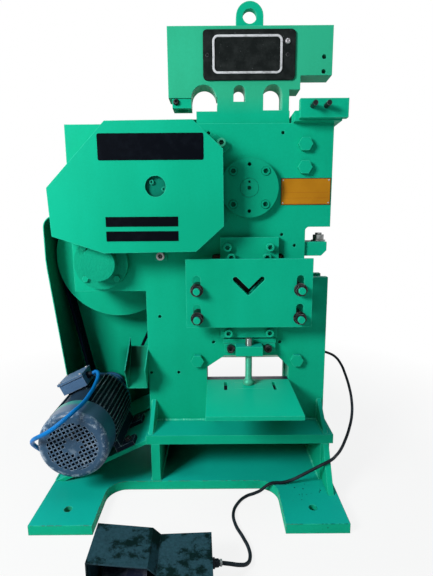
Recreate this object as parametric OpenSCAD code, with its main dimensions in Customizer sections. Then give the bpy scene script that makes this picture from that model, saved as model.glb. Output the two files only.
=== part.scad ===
// Mechanical ironworker: punch, notch, angle, bar and flat stations on one
// vertical ram, driven through a flywheel and two gear stages.
// +X right, +Y to the rear, +Z up. The origin is the middle of the anchor
// bolts, on the floor.

/* [Base] */
// Length of the base plate across the machine
base_w = 846; // [820:2:900]
// Depth of the base plate between its feet
base_d = 314; // [300:2:360]
// Thickness of the base plate
base_t = 28; // [20:1:36]
// Width of each foot
foot_w = 169; // [120:1:200]
// Depth over the front and rear feet
foot_d = 672; // [620:2:760]
// Radius between a foot and the base plate
foot_fillet = 55; // [10:1:90]
// Anchor hole spacing across the machine
anchor_x = 677; // [620:1:720]
// Anchor hole spacing front to back
anchor_y = 550; // [480:2:590]
// Anchor hole diameter
anchor_d = 22; // [12:1:32]
// Clear height between base plate and flange
web_h = 120; // [100:1:135]
// Thickness of the standing webs
web_t = 26; // [16:1:36]
// Thickness of the flange under the column
flange_t = 28; // [20:1:36]
// Depth of the flange
flange_d = 308; // [280:2:330]
// Thickness of the gussets
gusset_t = 12; // [6:1:18]

/* [Frame] */
// Thickness of each frame plate
plate_t = 25; // [20:1:32]
// Gap between the two frame plates
plate_gap = 64; // [50:1:80]
// Right edge of the frame, from the origin
frame_right = 416; // [405:1:430]
// Width of the column
column_w = 556; // [545:1:575]
// Reach of the wing left of the column
wing_reach = 217; // [208:1:240]
// Height of the wing's underside over the floor
wing_z = 601; // [560:1:605]
// Height of the frame's top over the floor
top_z = 1086; // [1072:1:1094]
// Width of the bars between the plates
spacer_w = 25; // [12:1:40]

/* [Drive] */
// Height of the eccentric shaft over the floor
shaft_z = 905; // [895:1:915]
// Distance of the eccentric shaft from the origin
shaft_x = 173; // [165:1:181]
// Throw of the eccentric, half of the ram's stroke
throw = 16; // [8:1:18]
// Radius of the eccentric shaft in its bushes
eccentric_r = 40; // [30:1:44]
// Module of both gear stages
gear_module = 6; // [5:0.5:6]
// Teeth of the two large gears
gear_teeth = 69; // [60:1:70]
// Teeth of the pinion on the flywheel shaft
pinion1_teeth = 24; // [20:1:26]
// Teeth of the pinion on the intermediate shaft
pinion2_teeth = 18; // [17:1:20]
// Width of the first gear stage
face1_w = 40; // [25:1:50]
// Width of the second gear stage
face2_w = 45; // [30:1:60]
// Slope of the line from flywheel shaft to intermediate shaft, degrees
drive_angle = 50.2; // [48:0.1:54]
// Radius of the intermediate shaft
inter_r = 27; // [20:1:32]
// Radius of the flywheel shaft
fly_shaft_r = 30; // [22:1:36]
// Outer radius of the flywheel
flywheel_r = 206; // [180:1:210]
// Width of the flywheel rim
flywheel_w = 70; // [62:1:80]
// Outer radius of the motor pulley
pulley_r = 50; // [40:1:70]
// Number of drive belts
belt_count = 3; // [2:1:3]

/* [Ram] */
// Clearance between the ram's sides and the frame plates
ram_gap = 0.3; // [0.2:0.05:0.6]
// Reach of the ram's slab left of the eccentric shaft
slab_left = 152; // [144:1:160]
// Reach of the ram's slab right of the eccentric shaft
slab_right = 119; // [114:1:124]
// Top of the slab over the floor
slab_top = 1125; // [1119:1:1140]
// Top of the ram's head over the floor
head_top = 1352; // [1345:1:1400]
// Reach of the head left of the eccentric shaft
head_left = 232; // [222:1:260]
// Reach of the head right of the eccentric shaft
head_right = 238; // [225:1:260]
// Lower end of the ram over the floor
ram_bottom = 378; // [372:1:384]
// Radius of the punch holder's socket
punch_r = 16; // [8:0.5:22]
// Outer radius of the lifting eye
eye_r = 39; // [30:1:60]
// Radius of the lifting eye's hole
eye_hole_r = 20; // [10:1:26]

/* [Stations] */
// Height of the shear table over the floor
table_z = 313; // [300:1:330]
// Thickness of the shear table
table_t = 12; // [6:1:20]
// Depth of the shear table
table_d = 244; // [180:1:300]
// Width of the shear table
table_w = 258; // [220:1:300]
// Thickness of the angle guard plate
guard_t = 12; // [6:1:18]
// Distance of the angle guard's front from the frame
guard_off = 60; // [45:1:75]
// Width of the angle guard
guard_w = 369; // [355:1:400]
// Height of the angle guard
guard_h = 203; // [185:1:210]
// Travel of the angle guard on its studs
guard_travel = 31; // [10:1:40]
// Radius of the guard's studs
stud_r = 10; // [6:0.5:12]
// Thickness of the clamp plate
clamp_t = 20; // [10:1:25]
// Radius of the hold-down screw
screw_r = 10.5; // [5:0.5:12]

/* [Motor] */
// Slope of the motor plate, degrees
motor_tilt = 25.5; // [23:0.1:27]
// Thickness of the motor plate
motor_plate_t = 12; // [6:1:20]
// Height of the motor shaft over its plate
motor_h = 112; // [108:1:120]
// Distance of the motor along its plate from the lower end
motor_run = 159; // [152:1:166]
// Radius of the fan cowl
cowl_r = 100; // [94:1:106]
// Radius of the motor shaft
motor_shaft_r = 14; // [9:1:19]

/* [Guards] */
// Sheet thickness of the guards
sheet_t = 3; // [1.5:0.5:5]
// Distance of the octagonal guard's front from the frame
octagon_off = 90; // [80:1:110]
// Radius of the hole in the octagonal guard
octagon_hole_r = 28; // [12:1:45]
// Room between the flywheel and the rear guard's back
rear_guard_room = 15; // [10:1:40]

/* [Controls] */
// Width of the control box
box_w = 115; // [90:1:140]
// Depth of the control box
box_d = 103; // [80:1:130]
// Height of the control box
box_h = 180; // [140:1:205]
// Length of the foot switch across
pedal_w = 266; // [230:1:300]
// Depth of the foot switch
pedal_d = 150; // [120:1:190]
// Height of the foot switch's hood
pedal_h = 115; // [97:1:130]
// Radius of the motor cable
motor_cable_r = 6; // [4:0.5:7]
// Radius of the foot switch cable
pedal_cable_r = 4.5; // [3:0.5:5]

/* [Hidden] */
// Running clearance of a shaft in its bush, radial
fit = 0.05;
// Clearance between flat sliding faces
slide = 0.3;
// Clearance round a bolt in its hole
bolt_fit = 0.5;
// Facets of round shapes
$fn = 48;

// Ledge behind the rear web, where the motor cable lies
cable_ledge = 28;

// Frame planes and corners
front_y = -plate_gap / 2 - plate_t;
rear_y = -front_y;
gap_y = plate_gap / 2;
flange_z = base_t + web_h;
column_z = flange_z + flange_t;
column_x = frame_right - column_w;
wing_x = column_x - wing_reach;

// Drive axes: eccentric, intermediate and flywheel shafts
stage1_a = gear_module * (gear_teeth + pinion1_teeth) / 2;
stage2_a = gear_module * (gear_teeth + pinion2_teeth) / 2;
inter_x = shaft_x - stage2_a;
inter_z = shaft_z;
fly_x = inter_x - stage1_a * cos(drive_angle);
fly_z = inter_z - stage1_a * sin(drive_angle);
gear_outer = gear_module * (gear_teeth / 2 + 1);
pressure_angle = 20;
backlash = 0.5;

// Gear planes behind the frame
stage_gap = 8;
face1_y = rear_y + stage_gap;
face2_y = face1_y + face1_w + stage_gap;
flywheel_y = face2_y;
back_y = max(face2_y + face2_w + 14, flywheel_y + flywheel_w + rear_guard_room);
bush_wall = 8;
bush_flange_t = 5;

// Eccentric, its ring and the yoke window in the ram
disc_r = eccentric_r + throw + 2;
ring_r = disc_r + 9;
// Vertical room for the half turn that moves the ram at a steady ratio
yoke_lift = 0.2105 * throw + 0.6;
yoke_side = throw + 1.5;

// Motor axis, from the lower end of the sloped plate
motor_x0 = -base_w / 2 + 2;
motor_x = motor_x0 + motor_run * cos(motor_tilt) - motor_h * sin(motor_tilt);
motor_z = base_t + motor_run * sin(motor_tilt) + motor_h * cos(motor_tilt);
motor_fan_y = front_y - 190;
motor_nde_y = front_y - 108;
motor_de_y = 40;
motor_end_y = 71;
shield_r = cowl_r - 2 - slide;
box_half_w = 41;
box_base = cowl_r;
box_top = box_base + 34;
box_y0 = front_y - 20;
box_y1 = front_y + 54;
lid_t = 7;
lid_out = 3;
gland_r = 10;
gland_l = 18;

// Stations
work_x = shaft_x;
angle_z = 605;
seat_x0 = work_x - 111;
seat_x1 = work_x + 107;
opening_z0 = 548;
opening_z1 = 714;
blade_z = 700;
heel_z = 690;
angle_x = work_x - 3;
stud_x = [work_x - 154.5, work_x + 147.5];
stud_z = [528, 612.5];
guard_x0 = work_x - 1.5 - guard_w / 2;
guard_z0 = 500;
guard_y = front_y - guard_off;
clamp_x0 = work_x - 85;
clamp_x1 = work_x + 88;
clamp_z0 = 457;
clamp_z1 = 763;
table_x0 = work_x + 1 - table_w / 2;
window_x0 = work_x - 129;
window_x1 = work_x + 129;
window_z0 = 250;
notch_x = frame_right - 74;
notch_z0 = 640;
notch_z1 = 792;
stop_screw_x = [frame_right - 73, frame_right - 36];
stop_screw_z = top_z + 34;
stop_screw_r = 7;
bar_block_z0 = 705;
bar_block_z1 = 747;
bar_nut_x = notch_x + 54;
bar_stud_r = 10;
bar_stud_l = 25;
bolster_t = 27;
bolster_out = 25;
stop_t = 20;
plate_z0 = 856;
plate_h = 77;
tie_r = 12;
tie_head_r = 20.8;
tie_head_t = 15;
tie_nut_t = 19;
// Upper bolts are tapped into the rear plate, lower ones have nuts
tapped_ties = [[frame_right - 82, 1027], [frame_right - 82, 963]];
nut_ties = [[work_x - 158.5, 378.5], [work_x + 152.5, 378.5]];
tie_points = concat(tapped_ties, nut_ties);
dowel_points = [[56, 1060], [270, 1060], [272, 770], [311, 737], [66, 437],
    [273, 437], [-100, 520], [-132, 338], [-45, 338]];
dowel_r = 5;
bracket_t = 15;
bracket_z = 423;
bar_z0 = 437;
bar_h = 14;
block_y0 = front_y - 55;
block_y1 = front_y - bracket_t;
hold_y = front_y - 35;
foot_pad_r = screw_r + 6.5;
foot_pad_h = 16;
block_z0 = 409;
block_z1 = 438;
slab_x0 = shaft_x - slab_left;
slab_x1 = shaft_x + slab_right;
tongue_x0 = shaft_x - 125;
tongue_x1 = shaft_x + 112;
guide_w = 20;
shoulder_z = 524;
guide_top = shoulder_z - 2 * throw - 2;
guide_z0 = 408;
head_x0 = shaft_x - head_left;
head_x1 = shaft_x + head_right;
punch_x = head_x0 + 38.5;
punch_block_z = 1135;
arm_z = 1162;
eye_lift = 34;
tool_hole_r = 6.5;
blade_t = 20;
blade_h = 32;
cap_r = 8;
cap_head_r = 12;
cap_head_t = 16;
cover_r = 85;
cover_t = 20;
cover_bolt_r = 66;
stub_r = 26.5;
housing_r = 80;
housing_t = 25;
housing_cap_r = 50;
housing_cap_t = 60;
housing_bolt_r = 66;
hex_r = 9.8;
hex_t = 7;
hex_bolt_r = 5;

// Octagonal guard outline
octagon = [[-219, 1075], [15, 1077], [96, 1002], [98, 797], [20, 727],
    [-237, 724], [-380, 772], [-385, 903]];
octagon_y = front_y - octagon_off;
tab_t = 6;

// Control box behind the right side of the column
box_x0 = frame_right - 95;
box_z0 = 420;
box_x1 = box_x0 + box_w;
box_y = rear_y + box_d;
button_y = rear_y + box_d / 2;
start_z = box_z0 + box_h * 0.68;
stop_z = box_z0 + box_h * 0.36;
button_r = 9;
button_travel = 4;

// Foot switch in front of the machine
pedal_at = [-205.7, -430.6, 0];
pedal_turn = 2.5;
pedal_split = 128;
pedal_step = 146;
pedal_low = 79;
pedal_fall = 18;
pedal_gland = [-43, 35];
pedal_floor = 6;
treadle_pivot_y = -22;
treadle_pivot_z = 27;
pedal_pin_r = 5;

// Route of the motor cable, terminal box to control box
motor_route = [[-324, -40, 331], [-313, -40, 336], [-305, -47, 333], [-302, -63, 323],
    [-302, -85, 316], [-301, -115, 311], [-301, -150, 309], [-302, -185, 307], [-304, -222, 308],
    [-310, -252, 308], [-322, -274, 301], [-340, -286, 288], [-362, -289, 272],
    [-385, -285, 257], [-407, -275, 243], [-425, -261, 228], [-438, -242, 209],
    [-444, -218, 186], [-444, -192, 160], [-439, -165, 132], [-431, -138, 104],
    [-422, -112, 78], [-413, -84, 56], [-407, -54, 44], [-406, -20, 43],
    [-406, 30, 43], [-406, 80, 43], [-406, 108, 43], [-396, 131, 39],
    [-373, 142, 35], [-340, 143, 34.5], [-290, 143, 34.5], [-230, 143, 34.5],
    [-160, 143, 34.5], [-80, 143, 34.5], [10, 143, 34.5], [100, 143, 34.5],
    [190, 143, 34.5], [270, 143, 34.5], [312, 146, 37], [338, 156, 51],
    [350, 166, 76], [352, 171, 112], [352, 171, 160], [354, 164, 220],
    [357, 150, 280], [358, 133, 328], [358, 119, 362], [358, 110, 386],
    [358, 108.5, 402]];

// Route of the foot switch cable, control box to foot switch
pedal_route = [[421, 108.5, 402], [421, 108.5, 384], [428, 108, 365], [446, 108, 351],
    [471, 106, 344], [496, 98, 332], [513, 82, 310], [523, 60, 280],
    [529, 32, 246], [529, 2, 212], [521, -30, 178], [504, -60, 144],
    [482, -90, 119], [458, -124, 108], [434, -156, 108], [411, -183, 111],
    [390, -188, 103], [366, -185, 87], [327, -182, 62], [296, -178, 43],
    [270, -176, 34], [247, -176, 33.5], [234, -177, 31.5], [220, -178, 23],
    [204, -179, 10], [186, -184, 5], [160, -197, 5], [134, -226, 5], [119, -266, 5],
    [123, -309, 5], [140, -352, 5], [152, -388, 5], [153, -418, 6],
    [143, -442, 13], [125, -456, 24], [103, -462, 33], [80, -461, 35]];

jade = "#12b28e";
steel = "#8d9296";
dark = "#2b2f33";
bronze = "#a9793a";
motor_blue = "#5f7396";
black = "#20262a";

// A flat outline in X and Z, made solid from y0 to y1
module slab(y0, y1) {
    translate([0, y1, 0]) rotate([90, 0, 0]) linear_extrude(y1 - y0) children();
}

// A round bar along Y
module rod(x, z, y0, y1, r) {
    translate([x, y1, z]) rotate([90, 0, 0]) cylinder(r = r, h = y1 - y0);
}

// A block between two corners
module block(a, b) {
    translate(a) cube(b - a);
}

// A rectangle with round corners
module round_rect(x0, x1, z0, z1, r) {
    translate([x0 + r, z0]) square([x1 - x0 - 2 * r, z1 - z0]);
    translate([x0, z0 + r]) square([x1 - x0, z1 - z0 - 2 * r]);
    for (x = [x0 + r, x1 - r], z = [z0 + r, z1 - r]) translate([x, z]) circle(r = r);
}

// A slot with round ends, between two centres
module upright_slot(x, z0, z1, r) {
    translate([x - r, z0]) square([2 * r, z1 - z0]);
    for (z = [z0, z1]) translate([x, z]) circle(r = r);
}

// A rectangle with a round top
module arch(x0, x1, z0, z1) {
    r = (x1 - x0) / 2;
    translate([x0, z0]) square([x1 - x0, z1 - z0 - r]);
    translate([x0 + r, z1 - r]) circle(r = r);
}

// A socket head screw along Y, its head's seat at y
module cap_screw(x, z, y, l) {
    difference() {
        rod(x, z, y - cap_head_t, y, cap_head_r);
        translate([x, y - cap_head_t + 8, z]) rotate([90, 0, 0]) cylinder(r = 7.5, h = 9, $fn = 6);
    }
    rod(x, z, y, y + l, cap_r);
}

// A hexagon bolt along Y, its head's seat at y
module hex_bolt(x, z, y, l) {
    translate([x, y, z]) rotate([90, 0, 0]) cylinder(r = hex_r, h = hex_t, $fn = 6);
    rod(x, z, y, y + l, hex_bolt_r);
}

// Involute function in degrees
function inv(a) = tan(a) * 180 / PI - a;

// Outline of a spur gear with one tooth on its X axis
module gear_outline(teeth) {
    pitch_r = gear_module * teeth / 2;
    base_r = pitch_r * cos(pressure_angle);
    tip_r = pitch_r + gear_module;
    root_r = pitch_r - 1.25 * gear_module;
    start_r = max(base_r + 0.01, root_r + 0.2);
    half = 90 / teeth - backlash / 4 / pitch_r * 180 / PI;
    flank = [for (i = [0:4]) let (r = start_r + (tip_r - start_r) * i / 4)
        [r, half + inv(pressure_angle) - inv(acos(base_r / r))]];
    polygon([for (k = [0:teeth - 1]) let (a = k * 360 / teeth) each concat(
        [[root_r * cos(a - flank[0][1]), root_r * sin(a - flank[0][1])]],
        [for (f = flank) [f[0] * cos(a - f[1]), f[0] * sin(a - f[1])]],
        [for (i = [4:-1:0]) let (f = flank[i]) [f[0] * cos(a + f[1]), f[0] * sin(a + f[1])]],
        [[root_r * cos(a + flank[0][1]), root_r * sin(a + flank[0][1])]])]);
}

// A gear on the axis x, z, with a tooth at the given turn
module gear(x, z, y0, y1, teeth, turn) {
    slab(y0, y1) translate([x, z]) rotate(turn) gear_outline(teeth);
}

// Unit vector
function unit(v) = v / norm(v);

// Direction of a route at a point
function heading(p, i) = unit(p[min(i + 1, len(p) - 1)] - p[max(i - 1, 0)]);

// A direction across the route that turns as little as it can
function across(n, t) = unit(n - (n * t) * t);

// A tube of radius r swept along the points of a route
module tube(route, r, sides = 8) {
    count = len(route);
    first = across([0.3, 0.4, 0.86], heading(route, 0));
    sideways = [for (i = 0, n = first; i < count; i = i + 1,
        n = i < count ? across(n, heading(route, i)) : n) n];
    points = [for (i = [0:count - 1]) let (t = heading(route, i), b = cross(t, sideways[i]))
        for (k = [0:sides - 1]) let (a = 360 * k / sides)
            route[i] + r * (cos(a) * sideways[i] + sin(a) * b)];
    walls = [for (i = [0:count - 2], k = [0:sides - 1]) let (j = (k + 1) % sides)
        each [[i * sides + k, (i + 1) * sides + k, (i + 1) * sides + j],
            [i * sides + k, (i + 1) * sides + j, i * sides + j]]];
    ends = [for (k = [1:sides - 2]) each [[0, k, k + 1],
        [(count - 1) * sides, (count - 1) * sides + k + 1, (count - 1) * sides + k]]];
    polyhedron(points, concat(walls, ends));
}

// The motor's own frame: its axis at the origin, its feet below
module on_motor() {
    translate([motor_x, 0, motor_z]) rotate([0, -motor_tilt, 0]) children();
}

// The foot switch's own frame: its rear left corner at the origin
module on_pedal() {
    translate(pedal_at) rotate([0, 0, pedal_turn]) children();
}

// Base plate with four feet, cut from one sheet
module base_plate() {
    color(jade) difference() {
        linear_extrude(base_t) {
            square([base_w, base_d], center = true);
            for (s = [-1, 1]) {
                translate([s * anchor_x / 2, 0]) square([foot_w, foot_d], center = true);
                for (f = [-1, 1]) translate([s * (anchor_x - foot_w) / 2, f * base_d / 2])
                    difference() {
                        translate([s > 0 ? -foot_fillet : 0, f > 0 ? 0 : -foot_fillet])
                            square(foot_fillet);
                        translate([-s * foot_fillet, f * foot_fillet]) circle(r = foot_fillet);
                    }
            }
        }
        for (x = [-1, 1], y = [-1, 1]) translate([x * anchor_x / 2, y * anchor_y / 2, -1])
            cylinder(d = anchor_d, h = base_t + 2);
    }
}

// Standing webs: left, right and rear
module base_webs() {
    front = -flange_d / 2;
    rear = flange_d / 2 - cable_ledge;
    left = column_x + 15;
    right = frame_right - 3 - web_t;
    color(jade) {
        for (x = [left, right]) block([x, front, base_t], [x + web_t, rear, flange_z]);
        block([left + web_t, rear - web_t, base_t], [right, rear, flange_z]);
    }
}

// Flange that carries the column
module base_flange() {
    color(jade) block([column_x + 1, -flange_d / 2, flange_z],
        [frame_right + 8, flange_d / 2, column_z]);
}

// Gussets over the flange, and under it at the right
module base_gussets() {
    out = flange_d / 2 - 7;
    rise = 72;
    drop = 73;
    color(jade) {
        for (s = [-1, 1], x = [column_x + 8, frame_right - 20]) translate([x, 0, column_z])
            rotate([90, 0, 90]) linear_extrude(gusset_t)
                polygon([[s * rear_y, 0], [s * out, 0], [s * rear_y, rise]]);
        translate([frame_right - 3 - web_t + 7, 0, base_t]) rotate([90, 0, 90])
            linear_extrude(web_t - 9)
                polygon([[-flange_d / 2, 0], [-flange_d / 2 - drop, 0], [-flange_d / 2, web_h]]);
    }
}

// Sloped plate from the base to the flange, under the motor
module motor_plate() {
    foot = motor_plate_t / sin(motor_tilt);
    reach = column_x + 1 - motor_x0;
    color(jade) slab(-flange_d / 2, rear_y + 48) polygon([[motor_x0, base_t],
        [motor_x0 + foot, base_t],
        [motor_x0 + reach, base_t + (reach - foot) * tan(motor_tilt)],
        [motor_x0 + reach, base_t + reach * tan(motor_tilt)]]);
}

// Outline of a frame plate with its windows
module plate_outline() {
    difference() {
        polygon([[column_x, column_z], [frame_right, column_z], [frame_right, top_z],
            [wing_x, top_z], [wing_x, wing_z], [column_x, wing_z]]);
        round_rect(notch_x, frame_right + 30, notch_z0, notch_z1, 12);
        round_rect(seat_x0, seat_x1, opening_z0, opening_z1, 14);
        polygon([[window_x0, window_z0], [window_x1, window_z0], [window_x1, 355],
            [window_x1 - 37, 393], [window_x0 + 56, 393], [window_x0, 355]]);
    }
}

// Bores that both plates share
module plate_bores(y0, y1) {
    rod(shaft_x, shaft_z, y0, y1, eccentric_r + bush_wall);
    rod(inter_x, inter_z, y0, y1, inter_r + bush_wall);
    rod(fly_x, fly_z, y0, y1, fly_shaft_r + bush_wall);
    for (p = tie_points) rod(p[0], p[1], y0, y1, tie_r + bolt_fit);
}

// Front frame plate
module front_plate() {
    color(jade) difference() {
        slab(front_y, -gap_y) plate_outline();
        plate_bores(front_y - 1, 1 - gap_y);
        for (p = dowel_points) rod(p[0], p[1], front_y - 1, front_y + 14, dowel_r);
        for (p = concat(cover_screws(), clamp_screws(), bracket_screws()))
            rod(p[0], p[1], front_y - 1, front_y + 18, cap_r + fit);
        for (p = tab_screws()) rod(p[0], p[1], front_y - 1, front_y + 18, cap_r + fit);
        for (p = housing_screws()) rod(p[0], p[1], front_y - 1, front_y + 18, hex_bolt_r + fit);
        for (x = stud_x, z = stud_z) rod(x, z, front_y - 1, front_y + 20, stud_r + fit);
    }
}

// Rear frame plate
module rear_plate() {
    color(jade) difference() {
        slab(gap_y, rear_y) plate_outline();
        plate_bores(gap_y - 1, rear_y + 1);
    }
}

// Bars that keep the plates apart
module frame_spacers() {
    guide_l = slab_x0 - slide - guide_w;
    guide_r = slab_x1 + slide + guide_w;
    foot_l = tongue_x0 - guide_w - 1;
    foot_r = tongue_x1 + guide_w + 1;
    color(jade) difference() {
        for (b = [[column_x, column_z, frame_right, column_z + 40],
                [foot_l - 47, column_z + 40, foot_l + 7, 400],
                [foot_l - 47, 400, foot_l, guide_top],
                [foot_r, column_z + 40, frame_right, notch_z0 - 8],
                [guide_r, notch_z1 + 8, frame_right, top_z],
                [wing_x, wing_z, wing_x + spacer_w, top_z],
                [wing_x + spacer_w, wing_z, column_x, wing_z + spacer_w],
                [wing_x + spacer_w, top_z - spacer_w, guide_l - 70, top_z]])
            slab(-gap_y, gap_y) translate([b[0], b[1]]) square([b[2] - b[0], b[3] - b[1]]);
        for (p = tie_points) rod(p[0], p[1], -gap_y - 1, gap_y + 1, tie_r + bolt_fit);
    }
}

// Guide bars beside the ram, above and below
module slide_guides() {
    color(bronze) for (g = [[slab_x0 - slide - guide_w, notch_z1, top_z - 6],
            [slab_x1 + slide, notch_z1, top_z - 6],
            [tongue_x0 - slide - guide_w, guide_z0, guide_top],
            [tongue_x1 + slide, guide_z0, guide_top]])
        slab(-gap_y, gap_y) translate([g[0], g[1]]) square([guide_w, g[2] - g[1]]);
}

// Hexagon bolts and nuts that draw the plates together
module tie_bolts() {
    color(jade) for (p = tie_points) {
        translate([p[0], front_y, p[1]]) rotate([90, 0, 0])
            cylinder(r = tie_head_r, h = tie_head_t, $fn = 6);
        rod(p[0], p[1], front_y, rear_y - 2, tie_r);
    }
    color(jade) for (p = nut_ties) {
        rod(p[0], p[1], rear_y - 2, rear_y + tie_nut_t + 7, tie_r);
        translate([p[0], rear_y + tie_nut_t, p[1]]) rotate([90, 0, 0])
            cylinder(r = tie_head_r, h = tie_nut_t, $fn = 6);
    }
}

// A plain bush, outer face at one plate
module bush(x, z, y0, y1, r) {
    difference() {
        rod(x, z, y0, y1, r + bush_wall);
        rod(x, z, y0 - 1, y1 + 1, r + fit);
    }
}

// Bronze bushes of the three shafts
module bearing_bushes() {
    color(bronze) for (s = [[shaft_x, shaft_z, eccentric_r], [inter_x, inter_z, inter_r],
            [fly_x, fly_z, fly_shaft_r]]) {
        bush(s[0], s[1], front_y, -gap_y, s[2]);
        bush(s[0], s[1], gap_y, rear_y + bush_flange_t, s[2]);
    }
}

// Screw places on the front plate
function cover_screws() = [for (a = [45:90:315])
    [shaft_x + cover_bolt_r * cos(a), shaft_z + cover_bolt_r * sin(a)]];
function clamp_screws() = [[clamp_x0 + 21, clamp_z1 - 29], [clamp_x1 - 27, clamp_z1 - 29],
    [clamp_x0 + 24, clamp_z0 + 17], [clamp_x1 - 24, clamp_z0 + 17]];
function packing_screws() = [[clamp_x0 + 32, clamp_z1 - 59], [clamp_x1 - 35, clamp_z1 - 59]];
function bracket_screws() = [[work_x - 54, bracket_z], [work_x + 60, bracket_z]];
function housing_screws() = [for (a = [45:90:315])
    [fly_x + housing_bolt_r * cos(a), fly_z + housing_bolt_r * sin(a)]];
function tab_screws() = [[92.5, 1030.5], [-90.5, 708.5]];

// Round cover over the front end of the eccentric shaft
module eccentric_cover() {
    color(jade) difference() {
        rod(shaft_x, shaft_z, front_y - cover_t, front_y, cover_r);
        rod(shaft_x, shaft_z, front_y - cover_t - 1, front_y + 1, stub_r + bolt_fit);
        for (p = cover_screws()) {
            rod(p[0], p[1], front_y - cover_t - 1, front_y + 1, cap_r + bolt_fit);
            rod(p[0], p[1], front_y - cover_t - 1, front_y - 7, cap_head_r + bolt_fit);
        }
        for (a = [90, 270]) rod(shaft_x + cover_bolt_r * cos(a),
            shaft_z + cover_bolt_r * sin(a), front_y - cover_t - 1, front_y - 6, 5);
    }
}

// Bearing housing with its cap, at the front of the flywheel shaft
module flywheel_housing() {
    color(jade) difference() {
        union() {
            rod(fly_x, fly_z, front_y - housing_t, front_y, housing_r);
            rod(fly_x, fly_z, front_y - housing_cap_t, front_y - housing_t, housing_cap_r);
        }
        rod(fly_x, fly_z, front_y - housing_cap_t + 12, front_y + 1, fly_shaft_r + 2);
        for (p = housing_screws())
            rod(p[0], p[1], front_y - housing_t - 1, front_y + 1, hex_bolt_r + bolt_fit);
    }
}

// Painted screws of the cover and clamp plate, and bolts of the housing
module painted_screws() {
    color(jade) {
        for (p = cover_screws()) cap_screw(p[0], p[1], front_y - 7, 22);
        for (p = clamp_screws()) cap_screw(p[0], p[1], front_y - clamp_t, clamp_t + 15);
        for (p = packing_screws()) cap_screw(p[0], p[1], front_y - clamp_t, clamp_t - 6);
        for (p = housing_screws()) hex_bolt(p[0], p[1], front_y - housing_t, housing_t + 15);
    }
}

// Black screws of the hold-down bracket and the notch stop
module black_screws() {
    color(dark) {
        for (p = bracket_screws()) cap_screw(p[0], p[1], front_y - bracket_t, bracket_t + 15);
        for (x = stop_screw_x) rod(x, stop_screw_z, front_y - bolster_out - stop_t - 32,
            front_y - bolster_out, stop_screw_r);
    }
}

// Bare screws of the guard tabs, and the nut, washer and stud of the bar block
module bare_screws() {
    color(steel) {
        for (p = tab_screws()) cap_screw(p[0], p[1], front_y - tab_t, 20);
        translate([bar_nut_x, 0, bar_block_z1]) {
            cylinder(r = 22, h = 4);
            translate([0, 0, 4]) cylinder(r = 17.3, h = 16, $fn = 6);
            translate([0, 0, -bar_stud_l]) cylinder(r = bar_stud_r, h = bar_stud_l + 26);
        }
    }
}

// Octagonal sheet guard in front of the intermediate shaft
module gear_guard() {
    color(jade) difference() {
        union() {
            slab(octagon_y, octagon_y + sheet_t) polygon(octagon);
            slab(octagon_y + sheet_t, front_y) difference() {
                polygon(octagon);
                offset(delta = -sheet_t) polygon(octagon);
            }
            slab(front_y - tab_t, front_y) {
                translate([70, 1040]) rotate(-43) translate([-8, -12]) square([55, 27]);
                translate([-109, 694]) square([36, 34]);
            }
        }
        rod(inter_x, inter_z, octagon_y - 1, octagon_y + sheet_t + 1, octagon_hole_r);
        rod(shaft_x, shaft_z, front_y - cover_t - 4, front_y + 1, cover_r + 4);
        rod(fly_x, fly_z, front_y - housing_cap_t - 4, front_y + 1, housing_r + 5);
        for (p = tab_screws()) rod(p[0], p[1], front_y - tab_t - 1, front_y + 1, cap_r + bolt_fit);
    }
}

// Outline of the rear guard round both gears, the flywheel and the pulley
module rear_guard_outline(inset) {
    // Corner beside the column and its gusset, just over the sloped motor plate
    over_plate = 7;
    corner_r = 30;
    corner_x = column_x - 9 - corner_r;
    corner_z = motor_z + (corner_x - motor_x) * tan(motor_tilt)
        - (motor_h - over_plate - corner_r) / cos(motor_tilt);
    hull() {
        translate([shaft_x, shaft_z]) circle(r = gear_outer + 3 + sheet_t - inset);
        translate([inter_x, inter_z]) circle(r = gear_outer + 3 + sheet_t - inset);
    }
    hull() {
        translate([fly_x, fly_z]) circle(r = flywheel_r + 11 - inset);
        translate([fly_x - flywheel_r + 29, fly_z + 101]) circle(r = 40 - inset);
        translate([motor_x, motor_z]) circle(r = motor_h - over_plate - inset);
        translate([corner_x, corner_z]) circle(r = corner_r - inset);
    }
}

// Sheet guard behind the frame, with a longer wall left of the wing
module rear_guard() {
    front = rear_y - 14;
    color(jade) difference() {
        slab(front, back_y + sheet_t) rear_guard_outline(0);
        slab(front - 1, back_y) rear_guard_outline(sheet_t);
        block([wing_x - 1, front - 1, 0], [frame_right + 100, rear_y, head_top]);
        block([wing_x - 400, front - 1, 0], [wing_x, rear_y, 260]);
    }
}

// Clamp plate of the angle station, and the bar below it
module clamp_plate() {
    color(jade) {
        difference() {
            slab(front_y - clamp_t, front_y) difference() {
                translate([clamp_x0, clamp_z0]) square([clamp_x1 - clamp_x0, clamp_z1 - clamp_z0]);
                polygon([[angle_x, heel_z - 98], [angle_x + 50, heel_z - 48], [angle_x + 50, heel_z],
                    [angle_x - 50, heel_z], [angle_x - 50, heel_z - 48]]);
            }
            for (p = clamp_screws())
                rod(p[0], p[1], front_y - clamp_t - 1, front_y + 1, cap_r + bolt_fit);
            for (p = packing_screws()) rod(p[0], p[1], front_y - clamp_t - 1, front_y - 6, cap_r + fit);
        }
        slab(front_y - 12, front_y) translate([clamp_x0 + 8, bar_z0])
            square([clamp_x1 - clamp_x0 - 10, bar_h]);
    }
}

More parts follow.
